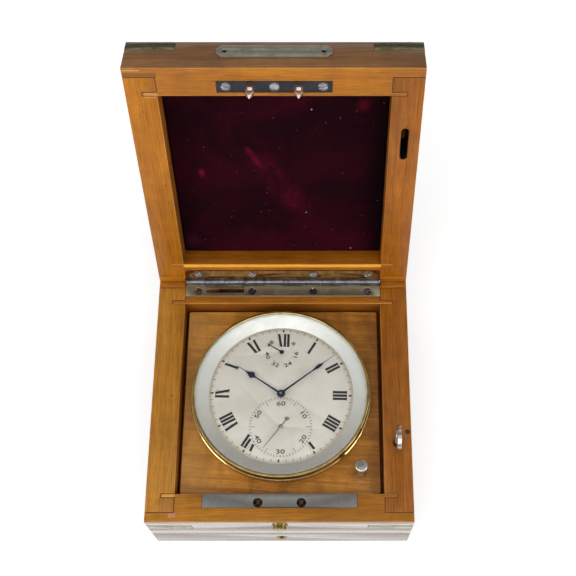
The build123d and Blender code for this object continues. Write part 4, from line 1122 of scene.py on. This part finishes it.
def floorFinish():
    material, tree, shader = startFinish("paperFloor")
    rays = addNode(tree, "LightPath").outputs
    grain = noise(tree, objectPlace(tree), 400, 2)
    white = stageValues["white"]
    colour = blendColour(tree, spread(tree, grain, 0.3, 0.7), [white] * 3 + [1], [white * 0.985] * 3 + [1])
    shown = sums(tree, "MAXIMUM", rays["Is Camera Ray"], rays["Is Glossy Ray"])
    shown = sums(tree, "MAXIMUM", shown, rays["Is Transmission Ray"])
    setInputs(shader, {"Base Color": colour, "Roughness": 0.9, "Specular IOR Level": 0.0,
                       "Emission Color": (1, 1, 1, 1),
                       "Emission Strength": times(tree, shown, stageValues["floorGlow"])})
    relief(tree, shader, grain, 0.05, 0.0001)
    return material


bpy.ops.mesh.primitive_grid_add(x_subdivisions=8, y_subdivisions=8, size=stageValues["floorSize"],
                                location=(0, 0, 0))
floor = made("floor")
floor.data.materials.append(floorFinish())

# a pale room, darker behind the box, ahead of it and overhead, with the limits of each along Y and Z
skyLimits = {"behind": ((-0.2, 0.5), (0.3, 0.48)), "ahead": ((-0.82, -0.6), (0.1, 0.3)), "zenith": (0.62, 0.9)}
world = bpy.data.worlds.new("studio")
bpy.context.scene.world = world
world.use_nodes = True
skyTree = world.node_tree
skyTree.nodes.clear()
skyWay = addNode(skyTree, "SeparateXYZ", {0: addNode(skyTree, "TexCoord").outputs["Generated"]}).outputs
alongY, alongZ = skyLimits["behind"]
back = times(skyTree, spread(skyTree, skyWay["Y"], *alongY), spread(skyTree, skyWay["Z"], *alongZ, 1.0, 0.0))
alongY, alongZ = skyLimits["ahead"]
ahead = times(skyTree, spread(skyTree, skyWay["Y"], *alongY, 1.0, 0.0), spread(skyTree, skyWay["Z"], *alongZ))
high = spread(skyTree, skyWay["Z"], *skyLimits["zenith"])
level = spread(skyTree, back, 0, 1, stageValues["sides"], stageValues["behind"])
for mask, name in ((ahead, "ahead"), (high, "zenith")):
    level = sums(skyTree, "MULTIPLY_ADD", mask, sums(skyTree, "SUBTRACT", stageValues[name], level), level)
shown = sums(skyTree, "MAXIMUM", addNode(skyTree, "LightPath").outputs["Is Camera Ray"], level)
sky = addNode(skyTree, "Background", {"Color": (1, 1, 1, 1), "Strength": shown})
addNode(skyTree, "OutputWorld", {"Surface": sky.outputs["Background"]})

softBoxes = [
    # name, place, width, height, watts
    ("leftBox", (-0.88, -0.42, 0.44), 0.5, 0.7, 3.6),
    ("rightBox", (0.9, -0.4, 0.42), 0.5, 0.6, 2.9),
    ("cameraBox", (0.0, -0.75, 1.01), 1.5, 1.0, 6.3),
    ("topBox", (0.05, -0.2, 1.46), 1.3, 0.9, 2.1),
]
for name, place, width, height, watts in softBoxes:
    lamp = configure(bpy.data.lights.new(name, "AREA"), shape="RECTANGLE", size=width, size_y=height, energy=watts)
    away = Vector(place) - Vector(stageValues["aim"])
    configure(linked(name, lamp), location=place, rotation_mode="QUATERNION",
              rotation_quaternion=away.to_track_quat("Z", "Y"))

cameraValues = {"place": (0.02612, -0.21942, 0.64838), "tilt": 0.3726043, "turn": -0.0025879, "roll": 0.0020841}
cameraLens = {"sensor_width": 36, "lens": 59.80, "shift_x": -0.05854, "shift_y": 0.15715, "clip_start": 0.01}
camera = linked("viewCamera", configure(bpy.data.cameras.new("viewCamera"), **cameraLens))
camera.matrix_world = (Matrix.Translation(cameraValues["place"]) @ Matrix.Rotation(cameraValues["turn"], 4, "Z")
                       @ Matrix.Rotation(cameraValues["tilt"], 4, "X")
                       @ Matrix.Rotation(cameraValues["roll"], 4, "Z"))
bpy.context.scene.camera = camera
bpy.context.scene.view_settings.view_transform = "Standard"
print("stage set")
